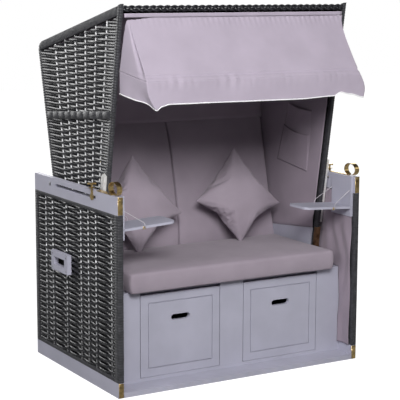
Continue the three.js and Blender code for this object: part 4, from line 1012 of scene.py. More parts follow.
def plait(centre, up, out, half):
    """Three bundles that change places along X."""
    skins = []
    steps = round(2 * half / (PLAIT_REPEAT / 24))
    for bundle in range(3):
        phase = bundle * math.tau / 3
        rings = []
        for step in range(steps + 1):
            x = -half + 2 * half * step / steps
            turn = x / PLAIT_REPEAT * math.tau + phase
            spot = in_hood(x, centre) + up * (math.sin(turn) * PLAIT_HEIGHT / 2)
            spot += out * (math.sin(2 * turn) * PLAIT_DEPTH / 4)
            rings.append(ellipse(spot, up, out, PLAIT_BUNDLE_WIDE, PLAIT_BUNDLE_DEEP, PLAIT_SIDES))
        skins.append(loft(rings))
    return joined(skins)


plait_centre = hood_meet(FRONT, PLAIT_INSET, ROOF, PLAIT_BELOW_ROOF)
core = rail_across(hood_meet(FRONT, CORE_INSET, ROOF, PLAIT_BELOW_ROOF), hood_edge(FRONT, 0)[1], CORE_DEEP,
                   CORE_HIGH)
edge = make_piece("roof_front_plait", [(plait(plait_centre, roof_up, outward_of(FRONT), WALL_HALF), strand),
                                       (core, wound_strand)], "hood")
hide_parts("roof_front_rail")
print("roof, back and plait done")

# %% [markdown]
# The linings are single sheets of cloth, tacked inside the frame. A grid that follows the wall, with a few
# shallow folds, is enough; a solidify modifier gives it the cloth's thickness.

# %% Helper for cloth sheets
CLOTH_THICK = 0.8 * MM


def cloth_grid(surface, across, down, keep=None):
    """Points and faces of a grid over surface(u, v); keep(u, v) tells which faces are cloth."""
    points = [tuple(surface(i / across, j / down)) for j in range(down + 1) for i in range(across + 1)]
    faces = []
    for j in range(down):
        for i in range(across):
            if keep and not keep((i + 0.5) / across, (j + 0.5) / down):
                continue
            a = j * (across + 1) + i
            faces.append((a, a + 1, a + across + 2, a + across + 1))
    if keep is None:
        return points, faces
    used = sorted({index for face in faces for index in face})
    place_of = {index: place for place, index in enumerate(used)}
    return [points[index] for index in used], [tuple(place_of[index] for index in face) for face in faces]


def apply_modifiers(obj):
    """Replaces an object's mesh with what its modifiers make of it."""
    bpy.context.view_layer.update()
    graph = bpy.context.evaluated_depsgraph_get()
    final = bpy.data.meshes.new_from_object(obj.evaluated_get(graph))
    obj.modifiers.clear()
    obj.data = final
    return obj


def shade_smooth(obj):
    for polygon in obj.data.polygons:
        polygon.use_smooth = True


def cloth_sheet(name, surface, across, down, material, body, thick=CLOTH_THICK, keep=None):
    sheet = make_piece(name, [(cloth_grid(surface, across, down, keep), material)], None)
    solid = sheet.modifiers.new("thickness", "SOLIDIFY")
    solid.thickness = thick
    solid.offset = 0.0
    apply_modifiers(sheet)
    shade_smooth(sheet)
    if body:
        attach(sheet, body)
    return sheet


# %% Hood linings
LINING_LOW_FRONT = 553.0 * MM
LINING_LOW_REAR = 515.0 * MM
CEILING_TURN = 150.0 * MM
CEILING_FOOT = 1022.0 * MM
CEILING_FOOT_INSET = 92.0 * MM
CURTAIN_FOLD = 9.0 * MM
LINING_GAP = 3.0 * MM
LINING_TUCK = 4.0 * MM
RIPPLE = 1.5 * MM
LINING_FRONT_INSET = 27.0 * MM
CEILING_INSET = 28.0 * MM
CEILING_SIDE_GAP = 5.0 * MM
FOLD_PLACE_SHARE = 0.1
FOLD_LEAN_SHARE = 0.03
FOLD_HALF_SHARE = 0.07
FOLD_START_SHARE = 0.3
FOLD_GROWTH_SHARE = 0.4
TUCK_PLACE_SHARE = 0.05
TUCK_LEAN_SHARE = 0.1
TUCK_HALF_SHARE = 0.03


def bell(value, middle, half):
    """A bump that is 1 at its middle and fades on both sides."""
    return math.exp(-((value - middle) / half) ** 2)


def ripple(spot, scale, depth, seed):
    """A slow random wander, the same on every run."""
    return noise.noise(Vector(spot) * scale + Vector((seed, seed * 2.0, seed * 3.0))) * depth


def lining_x(sign, spot):
    """How far from the middle the side lining hangs at a place (y, z)."""
    return HOOD_INNER - LINING_GAP - RIPPLE + ripple((spot.x, spot.y, 0.0), 5.0, RIPPLE * 2, 3.0 + sign)


def side_lining(sign):
    low_front = hood_at(FRONT, LINING_FRONT_INSET, LINING_LOW_FRONT)
    low_back = hood_at(BACK, HOOD_TUBE, LINING_LOW_REAR)
    top_front = hood_meet(FRONT, LINING_FRONT_INSET, ROOF, HOOD_TUBE)
    top_back = hood_meet(ROOF, HOOD_TUBE, BACK, HOOD_TUBE)

    def surface(u, v):
        spot = low_front.lerp(low_back, u).lerp(top_front.lerp(top_back, u), v)
        grown = smooth_step((v - FOLD_START_SHARE) / FOLD_GROWTH_SHARE)
        fold = CURTAIN_FOLD * bell(u, FOLD_PLACE_SHARE + FOLD_LEAN_SHARE * v, FOLD_HALF_SHARE) * grown
        tuck = LINING_TUCK * bell(v, TUCK_PLACE_SHARE + TUCK_LEAN_SHARE * u, TUCK_HALF_SHARE) * (1 - u)
        return Vector((sign * (lining_x(sign, spot) - fold - tuck), spot.x, spot.y))

    return surface


for side, sign in SIDES:
    lining = cloth_sheet(f"side_lining_{side}", side_lining(sign), 40, 50, lining_cloth_painted_shade, "hood")
    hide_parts(f"hood_side_lining_{side}")

# %% [markdown]
# A flat double pocket is sewn on each side lining. Its two openings gape a little, and the gap's shadow is
# what shows of it in the picture. The corners were measured in the photograph.

# %% Side pockets
POCKET_GAPE = 11.0 * MM
POCKET_CORNERS = {"upper": [(49, 1108), (-140, 1087), (-101, 808), (137, 840)],
                  "lower": [(87, 1004), (-112, 972), (-101, 806), (139, 838)]}
POCKET_LIFT = {"upper": 1.2 * MM, "lower": 2.4 * MM}
POCKET_BELLY = 3.0 * MM
POCKET_SAG = 8.0 * MM
POCKET_CREASE = 2.5 * MM


def pocket(sign, tier):
    top_rear, top_front, foot_front, foot_rear = (Vector((MIDDLE_Y + y * MM, z * MM))
                                                  for y, z in POCKET_CORNERS[tier])

    def surface(u, v):
        spot = top_rear.lerp(top_front, u).lerp(foot_rear.lerp(foot_front, u), v)
        across = math.sin(math.pi * u)
        belly = POCKET_BELLY * across * math.sin(math.pi * v)
        gape = POCKET_GAPE * across * (1 - v) ** 3
        crease = ripple((spot.x * 2.0 + spot.y, spot.y, 2.0), 12.0, POCKET_CREASE, 41.0 + sign) * across
        x = lining_x(sign, spot) - POCKET_LIFT[tier] - gape - belly + crease * math.sin(math.pi * v)
        return Vector((sign * x, spot.x, spot.y - POCKET_SAG * across * (1 - v) ** 2))

    return surface


for side, sign in SIDES:
    for tier in POCKET_CORNERS:
        sheet = cloth_sheet(f"side_pocket_{tier}_{side}", pocket(sign, tier), 30, 30, lining_cloth_painted_shade, "hood")

# %% Ceiling


def roof_lining(u, v):
    """From the roof's front edge back, and slanting down to the backrest's head."""
    start = hood_meet(FRONT, CEILING_INSET, ROOF, CEILING_INSET)
    corner = hood_meet(BACK, CEILING_TURN, ROOF, CEILING_INSET)
    foot = hood_at(BACK, CEILING_FOOT_INSET, CEILING_FOOT)
    roof_run = (corner - start).length
    back_run = (foot - corner).length
    reach = v * (roof_run + back_run)
    if reach < roof_run:
        spot = start.lerp(corner, reach / roof_run)
    else:
        spot = corner.lerp(foot, (reach - roof_run) / back_run)
    x = (2 * u - 1) * (HOOD_INNER - CEILING_SIDE_GAP)
    wander = ripple((x, spot.x, spot.y), 4.0, RIPPLE, 9.0)
    return Vector((x, spot.x - abs(wander), spot.y - abs(wander)))


ceiling = cloth_sheet("hood_ceiling", roof_lining, 60, 60, lining_cloth_painted_shade, "hood")
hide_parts("hood_lining")
print("linings hung")

# %% [markdown]
# Cushions are foam and wadding in a sewn cover. Blender's cloth can blow such a cover up: a slightly small
# body is put under pressure without gravity and stopped after a few frames. The cap limits how far any point
# moves from its pattern. The seat and the pillows are made so. The seat is first remeshed into even squares.

# %% Helper for padded pieces
SIM_FRAMES = 20
SIM_PRESSURE = 4.0
SIM_BENDING = 0.5
WELD_GAP = 0.05 * MM


def plump(obj, voxel, cap, stiffness=12.0, pressure=SIM_PRESSURE, remesh=True, bending=SIM_BENDING):
    """Inflates a body with cloth, keeps each point within cap of its start, and applies the result."""
    if remesh:
        grid = obj.modifiers.new("even grid", "REMESH")
        grid.mode = "VOXEL"
        grid.voxel_size = voxel
        grid.use_smooth_shade = True
        apply_modifiers(obj)
    start = [vertex.co.copy() for vertex in obj.data.vertices]
    cover = obj.modifiers.new("cover", "CLOTH")
    settings = cover.settings
    settings.quality = 5
    settings.mass = 0.3
    settings.tension_stiffness = stiffness
    settings.compression_stiffness = stiffness
    settings.shear_stiffness = stiffness / 2
    settings.bending_stiffness = bending
    settings.use_pressure = True
    settings.uniform_pressure_force = pressure
    settings.effector_weights.gravity = 0.0
    cover.collision_settings.use_collision = False
    cover.point_cache.frame_start = 1
    cover.point_cache.frame_end = SIM_FRAMES
    for step in range(1, SIM_FRAMES + 1):
        bpy.context.scene.frame_set(step)
    apply_modifiers(obj)
    bpy.context.scene.frame_set(1)
    for vertex, before in zip(obj.data.vertices, start):
        move = vertex.co - before
        if move.length > cap:
            vertex.co = before + move * (cap / move.length)


def subdivide(obj, levels=1):
    smooth = obj.modifiers.new("finer", "SUBSURF")
    smooth.levels = levels
    smooth.render_levels = levels
    apply_modifiers(obj)
    shade_smooth(obj)


def pad_body(width, depth, thick, crown, pull, bulge, cells, groove=None, crowding=1.0):
    """A boxed pad round the origin, resting on z = 0. crowding above 1 puts more cells near its middle."""
    def place(u, v, w):
        u = math.copysign(abs(u) ** crowding, u)
        swell = bulge * (1 - w * w)
        half_width = width / 2 - bulge - pull * (1 - v * v) + swell
        half_depth = depth / 2 - bulge - pull * (1 - u * u) + swell
        rise = crown * (1 - u ** 4) * (1 - v ** 4)
        if groove:
            rise -= groove(u, v)
        return Vector((u * half_width, v * half_depth, (w + 1) / 2 * (thick + rise)))

    nx, ny, nz = cells
    loops = []
    for j in range(nz + 1):
        w = 2 * j / nz - 1
        ring = [place(2 * i / nx - 1, -1, w) for i in range(nx)]
        ring += [place(1, 2 * i / ny - 1, w) for i in range(ny)]
        ring += [place(1 - 2 * i / nx, 1, w) for i in range(nx)]
        ring += [place(-1, 1 - 2 * i / ny, w) for i in range(ny)]
        loops.append(ring)
    skin = loft(loops, caps=False)
    lids = []
    for w in (-1, 1):
        grid = cloth_grid(lambda s, t, w=w: place(2 * s - 1, 2 * t - 1, w), nx, ny)
        lids.append((grid[0], [tuple(reversed(face)) for face in grid[1]] if w < 0 else grid[1]))
    return joined([skin, *lids])


def weld(obj, distance=WELD_GAP):
    merge = obj.modifiers.new("weld", "WELD")
    merge.merge_threshold = distance
    apply_modifiers(obj)


# %% [markdown]
# The seat is one long boxed pad with rounded front corners. Its top edge is a soft round rather than a piped
# seam, and the ends are drawn in a little at the foot.

# %% Seat cushion
seat_low, seat_high = node_box("seat_cushion")
SEAT_CROWN = 5.0 * MM
SEAT_THICK = seat_high.z - seat_low.z - SEAT_CROWN
SEAT_INSET = 1.0 * MM
SEAT_OVER = 8.0 * MM
SEAT_CORNER = 16.0 * MM
SEAT_TUCK = 4.0 * MM
SEAT_PULL = 3.0 * MM
SEAT_BULGE = 5.0 * MM
SEAT_CELLS = (60, 30, 8)
SEAT_VOXEL = 8.0 * MM
SEAT_CAP = 5.0 * MM
SEAT_END_SHARE = 0.9


def round_corners(obj, low, high, radius):
    """Moves the points of a boxed pad so that its front corners are round, seen from above."""
    for vertex in obj.data.vertices:
        spot = vertex.co
        in_x = abs(spot.x) - (high.x - radius)
        in_y = (low.y + radius) - spot.y
        if in_x > 0 and in_y > 0:
            reach = math.hypot(in_x, in_y)
            keep = max(in_x, in_y) / reach
            spot.x = math.copysign(high.x - radius + in_x * keep, spot.x)
            spot.y = low.y + radius - in_y * keep


seat_low.x -= SEAT_OVER
seat_high.x += SEAT_OVER
seat_body = pad_body(seat_high.x - seat_low.x - 2 * SEAT_INSET, seat_high.y - seat_low.y - 2 * SEAT_INSET,
                     SEAT_THICK - SEAT_INSET, SEAT_CROWN, SEAT_PULL, SEAT_BULGE, SEAT_CELLS)
seat = make_piece("seat_pad", [(seat_body, cushion_cloth)], None)
weld(seat)
seat.data.transform(Matrix.Translation(((seat_low.x + seat_high.x) / 2, (seat_low.y + seat_high.y) / 2,
                                        seat_low.z)))
round_corners(seat, seat_low, seat_high, SEAT_CORNER)
plump(seat, SEAT_VOXEL, SEAT_CAP)
for vertex in seat.data.vertices:
    spot = vertex.co
    spot.z = max(spot.z, seat_low.z)
    height_share = (spot.z - seat_low.z) / (seat_high.z - seat_low.z)
    corner_share = smooth_step((abs(spot.x) / seat_high.x - SEAT_END_SHARE) / (1 - SEAT_END_SHARE))
    spot.x -= math.copysign(SEAT_TUCK * corner_share * (1 - height_share) ** 3, spot.x)
subdivide(seat)
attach(seat, "base")
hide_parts("seat_cushion")
print("seat pad has", len(seat.data.vertices), "points")

# %% [markdown]
# The backrest hangs in the hood as one panel with a sewn channel down its middle. It isn't blown up: a crown
# and a channel by formula are enough, with more cells near the channel.

# %% Back cushion
BACK_GAP = 0.3 * MM
BACK_FOOT_LEVEL = 446.0 * MM
BACK_HEAD_LEVEL = 1030.0 * MM
BACK_FOOT = hood_at(BACK, HOOD_TUBE + BACK_GAP, BACK_FOOT_LEVEL)
BACK_HEAD = hood_at(BACK, HOOD_TUBE + BACK_GAP, BACK_HEAD_LEVEL)
BACK_THICK = 68.0 * MM
BACK_CROWN = 24.0 * MM
BACK_SIDE_GAP = 9.0 * MM
BACK_HALF = HOOD_INNER - BACK_SIDE_GAP
BACK_SHORTER = 8.0 * MM
BACK_THINNER = 4.0 * MM
BACK_PULL = 3.0 * MM
BACK_BULGE = 4.0 * MM
BACK_CELLS = (130, 60, 8)
BACK_CROWDING = 1.7
SEAM_DEPTH = 17.0 * MM
SEAM_HALF_SHARE = 0.011
SHOULDER_DEPTH = 5.0 * MM
SHOULDER_HALF_SHARE = 0.08


def back_channel(u, v):
    """How deep the sewn channel is: a narrow seam with soft shoulders."""
    seam = max(0.0, 1 - abs(u) / SEAM_HALF_SHARE)
    shoulder = max(0.0, 1 - abs(u) / SHOULDER_HALF_SHARE)
    return SEAM_DEPTH * seam ** 1.5 + SHOULDER_DEPTH * shoulder ** 2


back_run = BACK_HEAD - BACK_FOOT
back_body = pad_body(2 * BACK_HALF, back_run.length - BACK_SHORTER, BACK_THICK - BACK_THINNER, BACK_CROWN,
                     BACK_PULL, BACK_BULGE, BACK_CELLS, back_channel, BACK_CROWDING)
back = make_piece("back_pad", [(back_body, cushion_cloth)], None)
weld(back)
tilt = math.pi / 2 - math.atan2(back_run.x, back_run.y)
back_middle = (BACK_FOOT + BACK_HEAD) / 2
back.data.transform(Matrix.Translation(in_hood(0.0, back_middle)) @ Matrix.Rotation(tilt, 4, "X"))
subdivide(back)
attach(back, "hood")
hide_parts("back_cushion")
print("back pad has", len(back.data.vertices), "points")

# %% [markdown]
# Each pillow is two square cloths sewn at the edge and filled. Blown up, the edges draw in, the corners stay
# out as points, and short puckers run in from the seam. Both stand on a corner, and the two side corners
# sag.

# %% Pillows
PILLOW_FLAT = 332.0 * MM
PILLOW_CELLS = 64
PILLOW_START = 14.0 * MM
PILLOW_BENDING = 0.05
PILLOW_LEAN = math.radians(19)
PILLOW_TURN = math.radians(6)
PILLOW_DROOP = 31.0 * MM
PILLOW_EDGE = 0.3 * MM
PILLOW_WANDER = 2.0 * MM
PILLOW_WELD = 0.8 * MM
PILLOW_CAP = 55.0 * MM
PILLOW_STIFFNESS = 30.0
PILLOW_PRESSURE = 6.0
PILLOW_SHIFT = {"left": Vector((14.0, 0.0, -5.0)) * MM, "right": Vector((3.0, 0.0, -3.0)) * MM}


def pillow_body(seed):
    """Two sewn squares, hardly filled, round the origin in the XY plane."""
    half = PILLOW_FLAT / 2

    def layer(way):
        def surface(s, t):
            u, v = 2 * s - 1, 2 * t - 1
            fill = ((1 - u * u) * (1 - v * v)) ** 0.5
            wander = ripple((u, v, way), 3.0, PILLOW_WANDER, seed) * fill
            return Vector((u * half, v * half, way * (PILLOW_EDGE + PILLOW_START * fill) + wander))
        points, faces = cloth_grid(surface, PILLOW_CELLS, PILLOW_CELLS)
        return points, faces if way > 0 else [tuple(reversed(face)) for face in faces]

    return joined([layer(1), layer(-1)])


for side, seed in (("left", 5.0), ("right", 11.0)):
    node = f"pillow_{side}"
    low, high = node_box(node)
    pillow = make_piece(f"pillow_soft_{side}", [(pillow_body(seed), cushion_cloth)], None)
    weld(pillow, PILLOW_WELD)
    plump(pillow, 0.0, PILLOW_CAP, stiffness=PILLOW_STIFFNESS, pressure=PILLOW_PRESSURE, remesh=False,
          bending=PILLOW_BENDING)
    pillow.data.transform(Matrix.Rotation(math.pi / 4 - PILLOW_TURN, 4, "Z"))
    reach = max(abs(vertex.co.x) for vertex in pillow.data.vertices)
    for vertex in pillow.data.vertices:
        vertex.co.y -= PILLOW_DROOP * (abs(vertex.co.x) / reach) ** 1.5
    pillow.data.transform(Matrix.Translation((low + high) / 2 + PILLOW_SHIFT[side])
                          @ Matrix.Rotation(math.pi / 2 - PILLOW_LEAN, 4, "X"))
    subdivide(pillow)
    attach(pillow, f"pillow_{side}")
    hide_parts(node)
    print("pillow", side, [round(value, 3) for value in pillow.dimensions], "CAD",
          [round(value, 3) for value in high - low])

# %% [markdown]
# The awning is a sewn cloth that hangs from the roof's front edge over a swinging rod. Its front, its two
# side flaps and the strips below the rod are cut as separate sheets here. The front strip and its piping ride
# on one body, and the others are baked in place. The lower edge is bound with white piping; its line is
# drawn from the photograph, where the left tip hangs down and the right end curls up.

# %% Awning rod
ROD_RADIUS = 4.0 * MM
ROD_FRONT_HALF = 500.0 * MM
ROD_POST_GAP = 5.0 * MM
ROD_POST_HALF = HOOD_INNER - ROD_POST_GAP
ROD_PIVOT_LEVEL = 1300.0 * MM
ROD_SIDES = 12
ROD_BEND = 22.0 * MM
rod_low = node_box("awning_rod")[0]
ROD_BAR = Vector((rod_low.y + ROD_RADIUS, rod_low.z + ROD_RADIUS))
ROD_PIVOT = hood_at(FRONT, HOOD_TUBE / 2, ROD_PIVOT_LEVEL)
rod_half = [(HOOD_INNER, ROD_PIVOT), (ROD_POST_HALF, ROD_PIVOT), (ROD_FRONT_HALF, ROD_BAR)]
rod_route = [in_hood(-x, spot) for x, spot in rod_half] + [in_hood(x, spot) for x, spot in reversed(rod_half)]
rod_tube = tube(rounded_path(rod_route, ROD_BEND), ROD_RADIUS, ROD_SIDES)
bar = make_piece("awning_bar", [(rod_tube, zinc)], "awning")
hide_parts("awning_rod")

# %% Lines of the awning
awning_low = node_box("awning_cloth")[0]
AWNING_PROUD = 4.5 * MM
AWNING_TOP_LEVEL = 1509.0 * MM
AWNING_TOP = hood_at(FRONT, -AWNING_PROUD, AWNING_TOP_LEVEL)
BAR_INSET = 2.0 * MM
BAR_LEVEL = 1268.0 * MM
BAR_FRONT = Vector((awning_low.y + BAR_INSET, BAR_LEVEL))
AWNING_LEFT = -507.0 * MM
AWNING_RIGHT = 504.0 * MM
RIGHT_TOP_OUT = 18.0 * MM
RIGHT_BAR_OUT = 6.0 * MM
LEFT_TIP_IN = 40.0 * MM
RIGHT_TIP_OUT = 25.0 * MM
ARM_SIDE = 527.0 * MM
TOP_GATHER = 2.5 * MM
GATHER_PITCH = 25.0 * MM
CREASE_SHARE = 0.925
CREASE_DEPTH = 7.0 * MM
FLAP_DENT = 12.0 * MM
LEFT_SAG = 8.0 * MM
LEFT_SAG_SHARE = 0.12
CREASE_HALF_SHARE = 0.016
AWNING_BELLY = 4.0 * MM
AWNING_WANDER = 5.0 * MM
BAR_PULL = 4.0 * MM
BAR_PULL_SEED = 29.0
BAR_PULL_MIDDLE_SHARE = 0.97
BAR_PULL_HALF_SHARE = 0.05
VALANCE_PULL_SHARE = 0.3
GATHER_LEAST_SHARE = 0.4
DENT_PLACE_SHARE = 0.13
DENT_HALF_SHARE = 0.09
FLAP_OUT = 2.0 * MM
FLAP_CORNER_SHARE = 0.35
FLAP_MEET_SHARE = 0.5
SIDE_DROP = 88.0 * MM
SIDE_WAVE = 2.5 * MM
SIDE_WAVE_TURN = 9.0
FRONT_WAVE = 3.0 * MM
FRONT_WAVE_TURN = 21.0
PIPING_RADIUS = 2.5 * MM
PIPING_SIDES = 6
VALANCE_EDGE = [(-467, 110), (-440, 95), (-410, 88), (-270, 89), (200, 92), (375, 86), (410, 72),
                (458, 81), (528, 97)]


def awning_right(v):
    """The right edge: it starts at the post, pulls in, and runs out again towards the rod."""
    return AWNING_RIGHT + RIGHT_TOP_OUT * (1 - v) ** 8 + RIGHT_BAR_OUT * v ** 4


def awning_front_line(v, left_share=0.0):
    """The awning's line from the roof down to the rod; (y, z)."""
    spot = AWNING_TOP.lerp(BAR_FRONT, v)
    crease = bell(v, CREASE_SHARE, CREASE_HALF_SHARE) * CREASE_DEPTH
    belly = AWNING_BELLY * math.sin(math.pi * v)
    return spot + Vector((belly + crease, -LEFT_SAG * left_share * (1 - v) ** 3))


def bar_pull(x):
    """How the cloth wanders where it is drawn over the rod."""
    return ripple((x * 3.0, 0.0, 1.0), 14.0, BAR_PULL, BAR_PULL_SEED)


def awning_front(u, v):
    left_share = 1 - smooth_step(u / LEFT_SAG_SHARE)
    spot = awning_front_line(v, left_share)
    x = AWNING_LEFT + (awning_right(v) - AWNING_LEFT) * u
    fullness = GATHER_LEAST_SHARE + (1 - GATHER_LEAST_SHARE) * u
    gather = TOP_GATHER * math.sin(x / GATHER_PITCH * math.tau) * (1 - v) ** 14 * fullness
    wander = ripple((x, spot.y, 0.0), 5.0, AWNING_WANDER, 17.0) * math.sin(math.pi * v)
    pull = bar_pull(x) * bell(v, BAR_PULL_MIDDLE_SHARE, BAR_PULL_HALF_SHARE)
    return Vector((x, spot.x + gather + wander + pull, spot.y))


def flap_x(sign, u, v):
    """How far out a side flap lies: it rounds the rod's corner, lies outside the arm and ends at the post."""
    front_x = abs(AWNING_LEFT) if sign < 0 else abs(awning_right(v))
    outside = (ARM_SIDE - front_x) * u ** 0.8 * v ** 0.4
    dent = FLAP_DENT * bell(u, DENT_PLACE_SHARE, DENT_HALF_SHARE) * math.sin(math.pi * v) ** 0.5
    return front_x + outside - dent


def gusset(sign):
    def surface(u, v):
        front = awning_front_line(v, 1.0 if sign < 0 else 0.0)
        rear_top = AWNING_TOP.y - LEFT_SAG
        rear = hood_at(FRONT, -FLAP_OUT, rear_top + (ROD_PIVOT.y - rear_top) * v)
        spot = front.lerp(rear, u)
        return Vector((sign * flap_x(sign, u, v), spot.x, spot.y))
    return surface


def flap_corner(u):
    return (1 - smooth_step(u / FLAP_CORNER_SHARE)) ** 2


def side_valance(sign):
    """The strip below the rod's arm. Its front edge is the same line as the end of the front strip."""
    def surface(u, v):
        top = BAR_FRONT.lerp(hood_at(FRONT, -FLAP_OUT, ROD_PIVOT.y), u)
        end_drop = VALANCE_EDGE[0 if sign < 0 else -1][1] * MM
        drop = SIDE_DROP + (end_drop - SIDE_DROP) * flap_corner(u)
        front_x = valance_end(sign, v)
        rest_x = sign * flap_x(sign, u, 1.0)
        x = rest_x + (front_x - sign * flap_x(sign, 0.0, 1.0)) * (1 - smooth_step(u / FLAP_MEET_SHARE))
        wave = SIDE_WAVE * math.sin(u * SIDE_WAVE_TURN) * v * math.sin(math.pi * u)
        return Vector((x + sign * wave, top.x, top.y - drop * v))
    return surface


def valance_end(sign, v):
    """Where the front strip ends across, from the rod (v = 0) down to the piping (v = 1)."""
    if sign < 0:
        return AWNING_LEFT + LEFT_TIP_IN * v * v
    return awning_right(1.0) + RIGHT_TIP_OUT * math.sin(v * math.pi * 0.75)


def edge_drop(x):
    """How far the piping hangs below the rod at a place across."""
    spots = [(a * MM, b * MM) for a, b in VALANCE_EDGE]
    for (x0, drop0), (x1, drop1) in zip(spots, spots[1:]):
        if x <= x1 or x1 == spots[-1][0]:
            return drop0 + (drop1 - drop0) * smooth_step((x - x0) / (x1 - x0))


def front_valance(u, v):
    left, right = valance_end(-1, v), valance_end(1, v)
    x = left + (right - left) * u
    drop = edge_drop(valance_end(-1, 1.0) + (valance_end(1, 1.0) - valance_end(-1, 1.0)) * u)
    wave = FRONT_WAVE * math.sin(x * FRONT_WAVE_TURN) * v * math.sin(math.pi * u)
    pull = bar_pull(x) * bell(v, 0.0, VALANCE_PULL_SHARE)
    return Vector((x, BAR_FRONT.x + wave + pull, BAR_FRONT.y - drop * v))


# %% Awning sheets


def hem(surface, steps, material):
    """White piping along the lower edge of a sheet."""
    rings = []
    for step in range(steps + 1):
        spot = surface(step / steps, 1.0)
        ahead = surface(min(1.0, (step + 0.5) / steps), 1.0) - surface(max(0.0, (step - 0.5) / steps), 1.0)
        ahead.normalize()
        up = Vector((0, 0, 1))
        side = ahead.cross(up).normalized()
        rings.append(ellipse(spot, up, side, PIPING_RADIUS, PIPING_RADIUS, PIPING_SIDES))
    return loft(rings), material


def bend(obj, upper, lower, start, finish):
    """Bakes the sheet's place into its points; it rides on no body, and upper, lower, start and finish are
    not used.
    """
    tuple(start)
    tuple(finish)
    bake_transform(obj)


roof_line = in_hood(0.0, AWNING_TOP)
bar_line = in_hood(0.0, BAR_FRONT)
front_cloth = cloth_sheet("awning_front", awning_front, 240, 60, awning_cloth, None)
bend(front_cloth, "hood", "awning", roof_line, bar_line)
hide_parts("awning_cloth")
for side, sign in SIDES:
    side_cloth = cloth_sheet(f"awning_gusset_{side}", gusset(sign), 40, 40, awning_cloth, None)
    bend(side_cloth, "hood", "awning", in_hood(0.0, ROD_PIVOT), bar_line)
    strip = cloth_sheet(f"side_valance_{side}", side_valance(sign), 40, 16, awning_cloth, None)
    strip_piping = make_piece(f"side_piping_{side}", [hem(side_valance(sign), 40, piping_white)], None)
    for piece in (strip, strip_piping):
        bend(piece, "awning", "valance", in_hood(0.0, ROD_PIVOT), bar_line)
strip = cloth_sheet("front_valance", front_valance, 240, 20, awning_cloth, "valance")
strip_piping = make_piece("front_piping", [hem(front_valance, 240, piping_white)], "valance")
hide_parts("awning_valance")

# %% [markdown]
# Above the awning a strip of the same cloth runs along the roof's edge, with a thin dark line between the
# two. How they are fastened can't be seen in the photograph.

# %% Strip along the roof's edge
STRIP_TOP = 1526.0 * MM
STRIP_FOOT = 1510.0 * MM
STRIP_PROUD = 1.5 * MM
STRIP_SIDE_GAP = 4.0 * MM
STRIP_WANDER = 1.5 * MM


def roof_strip(u, v):
    spot = hood_at(FRONT, -STRIP_PROUD, STRIP_TOP + (STRIP_FOOT - STRIP_TOP) * v)
    x = (2 * u - 1) * (HOOD_INNER - STRIP_SIDE_GAP)
    return Vector((x, spot.x + ripple((x, 0.0, spot.y), 20.0, STRIP_WANDER, 3.0) * v, spot.y))


edge_strip = cloth_sheet("roof_edge_strip", roof_strip, 80, 4, awning_cloth, "hood")
print("awning hung")

# %% [markdown]
# Inside the base's arms the cushion cloth hangs as a lining, loosely tacked, with long upright folds. It is
# cut round what stands there: low down it ends at the footrest bay, higher up it starts behind the tray's
# panel, and the pivot comes through a hole. The grid's lines lie on these borders, so the cut edges are
# straight.

# %% Base linings
panel_low, panel_high = node_box("tray_panel_right")
lining_box_low, lining_box_high = node_box("base_side_lining_right")
LOWER_ZONE_SHARE = 0.48
UPPER_ZONE_SHARE = 0.84
BAY_SHARE = 0.3
PANEL_SHARE = 0.6
LINING_CLEAR = 2.0 * MM
SEAT_BOARD_TOP = node_box("seat_board")[1].z
LOW_PART_END = node_box("bay_stile_right")[0].y - LINING_CLEAR
PANEL_FOOT = panel_low.z - LINING_CLEAR
PANEL_REAR = panel_high.y + LINING_CLEAR
PIVOT_BEFORE_MIDDLE = 155.5 * MM
PIVOT_LEVEL = 440.0 * MM
PIVOT = Vector((MIDDLE_Y - PIVOT_BEFORE_MIDDLE, PIVOT_LEVEL))
PIVOT_HOLE = 24.0 * MM
FOLD_PITCH = 78.0 * MM
FOLD_DEPTH = 2.4 * MM
FOLD_WANDER = 3.0 * MM
BASE_LINING_INSET = 6.0 * MM


def lining_spot(u, v):
    """The place of a grid point inside the arm; (y, z)."""
    low, high = lining_box_low, lining_box_high
    y = np.interp(u, (0.0, BAY_SHARE, PANEL_SHARE, 1.0), (low.y, LOW_PART_END, PANEL_REAR, high.y))
    z = np.interp(v, (0.0, LOWER_ZONE_SHARE, UPPER_ZONE_SHARE, 1.0),
                  (low.z, SEAT_BOARD_TOP, PANEL_FOOT, high.z))
    return Vector((float(y), float(z)))


def lining_kept(u, v):
    if v < LOWER_ZONE_SHARE:
        return u < BAY_SHARE
    if v > UPPER_ZONE_SHARE:
        return u > PANEL_SHARE
    return (lining_spot(u, v) - PIVOT).length > PIVOT_HOLE


def base_lining(sign):
    def surface(u, v):
        spot = lining_spot(u, v)
        drift = ripple((spot.y, spot.x, 0.0), 5.0, 1.0, 31.0 + sign)
        folds = FOLD_DEPTH * math.sin(spot.x / FOLD_PITCH * math.tau + drift * 6.0)
        wander = ripple((spot.x * 3.0, spot.y, 0.0), 7.0, FOLD_WANDER, 23.0 + sign)
        return Vector((sign * (lining_box_high.x - BASE_LINING_INSET + folds + wander), spot.x, spot.y))

    return surface


for side, sign in SIDES:
    lining = cloth_sheet(f"base_lining_{side}", base_lining(sign), 50, 100, lining_cloth_painted_shade, "base",
                         keep=lining_kept)
    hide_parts(f"base_side_lining_{side}")

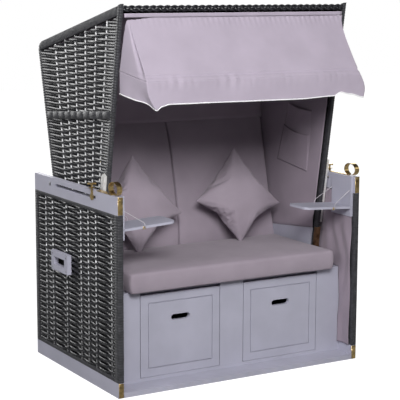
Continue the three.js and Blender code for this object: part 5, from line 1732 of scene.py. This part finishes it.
# %% [markdown]
# A thin cord slings under each tray: from an eye at the panel's front, round the tray and up to the eye at
# its rear. It is a tube along that line, with a small brass clip where it rounds the tray's front edge. The
# cord is baked in place, and the clip rides on the tray.

# %% Tray cords
CORD_RADIUS = 1.2 * MM
CORD_BEND = 10.0 * MM
CORD_STEP = 4.0 * MM
CORD_RISE = 27.0 * MM
EYE_INSET = 6.0 * MM
CLIP_HALF = 6.0 * MM
CLIP_RISE = 3.0 * MM
cord_low, cord_high = node_box("tray_cord_right")


def fine_path(path, step):
    """The same line with points no further apart than step."""
    fine = [path[0]]
    for a, b in zip(path, path[1:]):
        count = max(1, math.ceil((b - a).length / step))
        fine += [a.lerp(b, (k + 1) / count) for k in range(count)]
    return fine


for side, sign in SIDES:
    tray_low, tray_high = node_box(f"tray_{side}")
    eye_x = cord_high.x - CORD_RADIUS
    tray_x = cord_low.x + CORD_RADIUS
    front = cord_low.y + CORD_RADIUS
    rear = cord_high.y - CORD_RADIUS
    top = cord_high.z - CORD_RADIUS
    under = cord_low.z + CORD_RADIUS
    over = under + CORD_RISE
    corners = [(eye_x, tray_low.y + EYE_INSET, top), (tray_x, front, over), (tray_x, front, under),
               (tray_x, rear, under), (tray_x, rear, over), (eye_x, tray_high.y - EYE_INSET, top)]
    path = fine_path(rounded_path([mirrored(sign, corner) for corner in corners], CORD_BEND), CORD_STEP)
    length = sum((b - a).length for a, b in zip(path, path[1:]))
    sling = make_piece(f"tray_sling_{side}", [(tube(path, CORD_RADIUS), tray_cord_white)], None)
    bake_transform(sling)
    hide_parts(f"tray_cord_{side}")
    tuple(path[0])
    [tuple(point) for point in path]
    clip_z = under + CORD_RADIUS + CLIP_RISE
    clip = plate((sign * tray_x - CLIP_HALF, tray_low.y - PLATE_THICK, clip_z - CLIP_HALF / 2),
                 (sign * tray_x + CLIP_HALF, tray_low.y, clip_z + CLIP_HALF * 1.5))
    make_piece(f"cord_clip_{side}", [(clip, brass)], f"tray_{side}")
    print("cord", side, "is", round(length, 3), "m long")
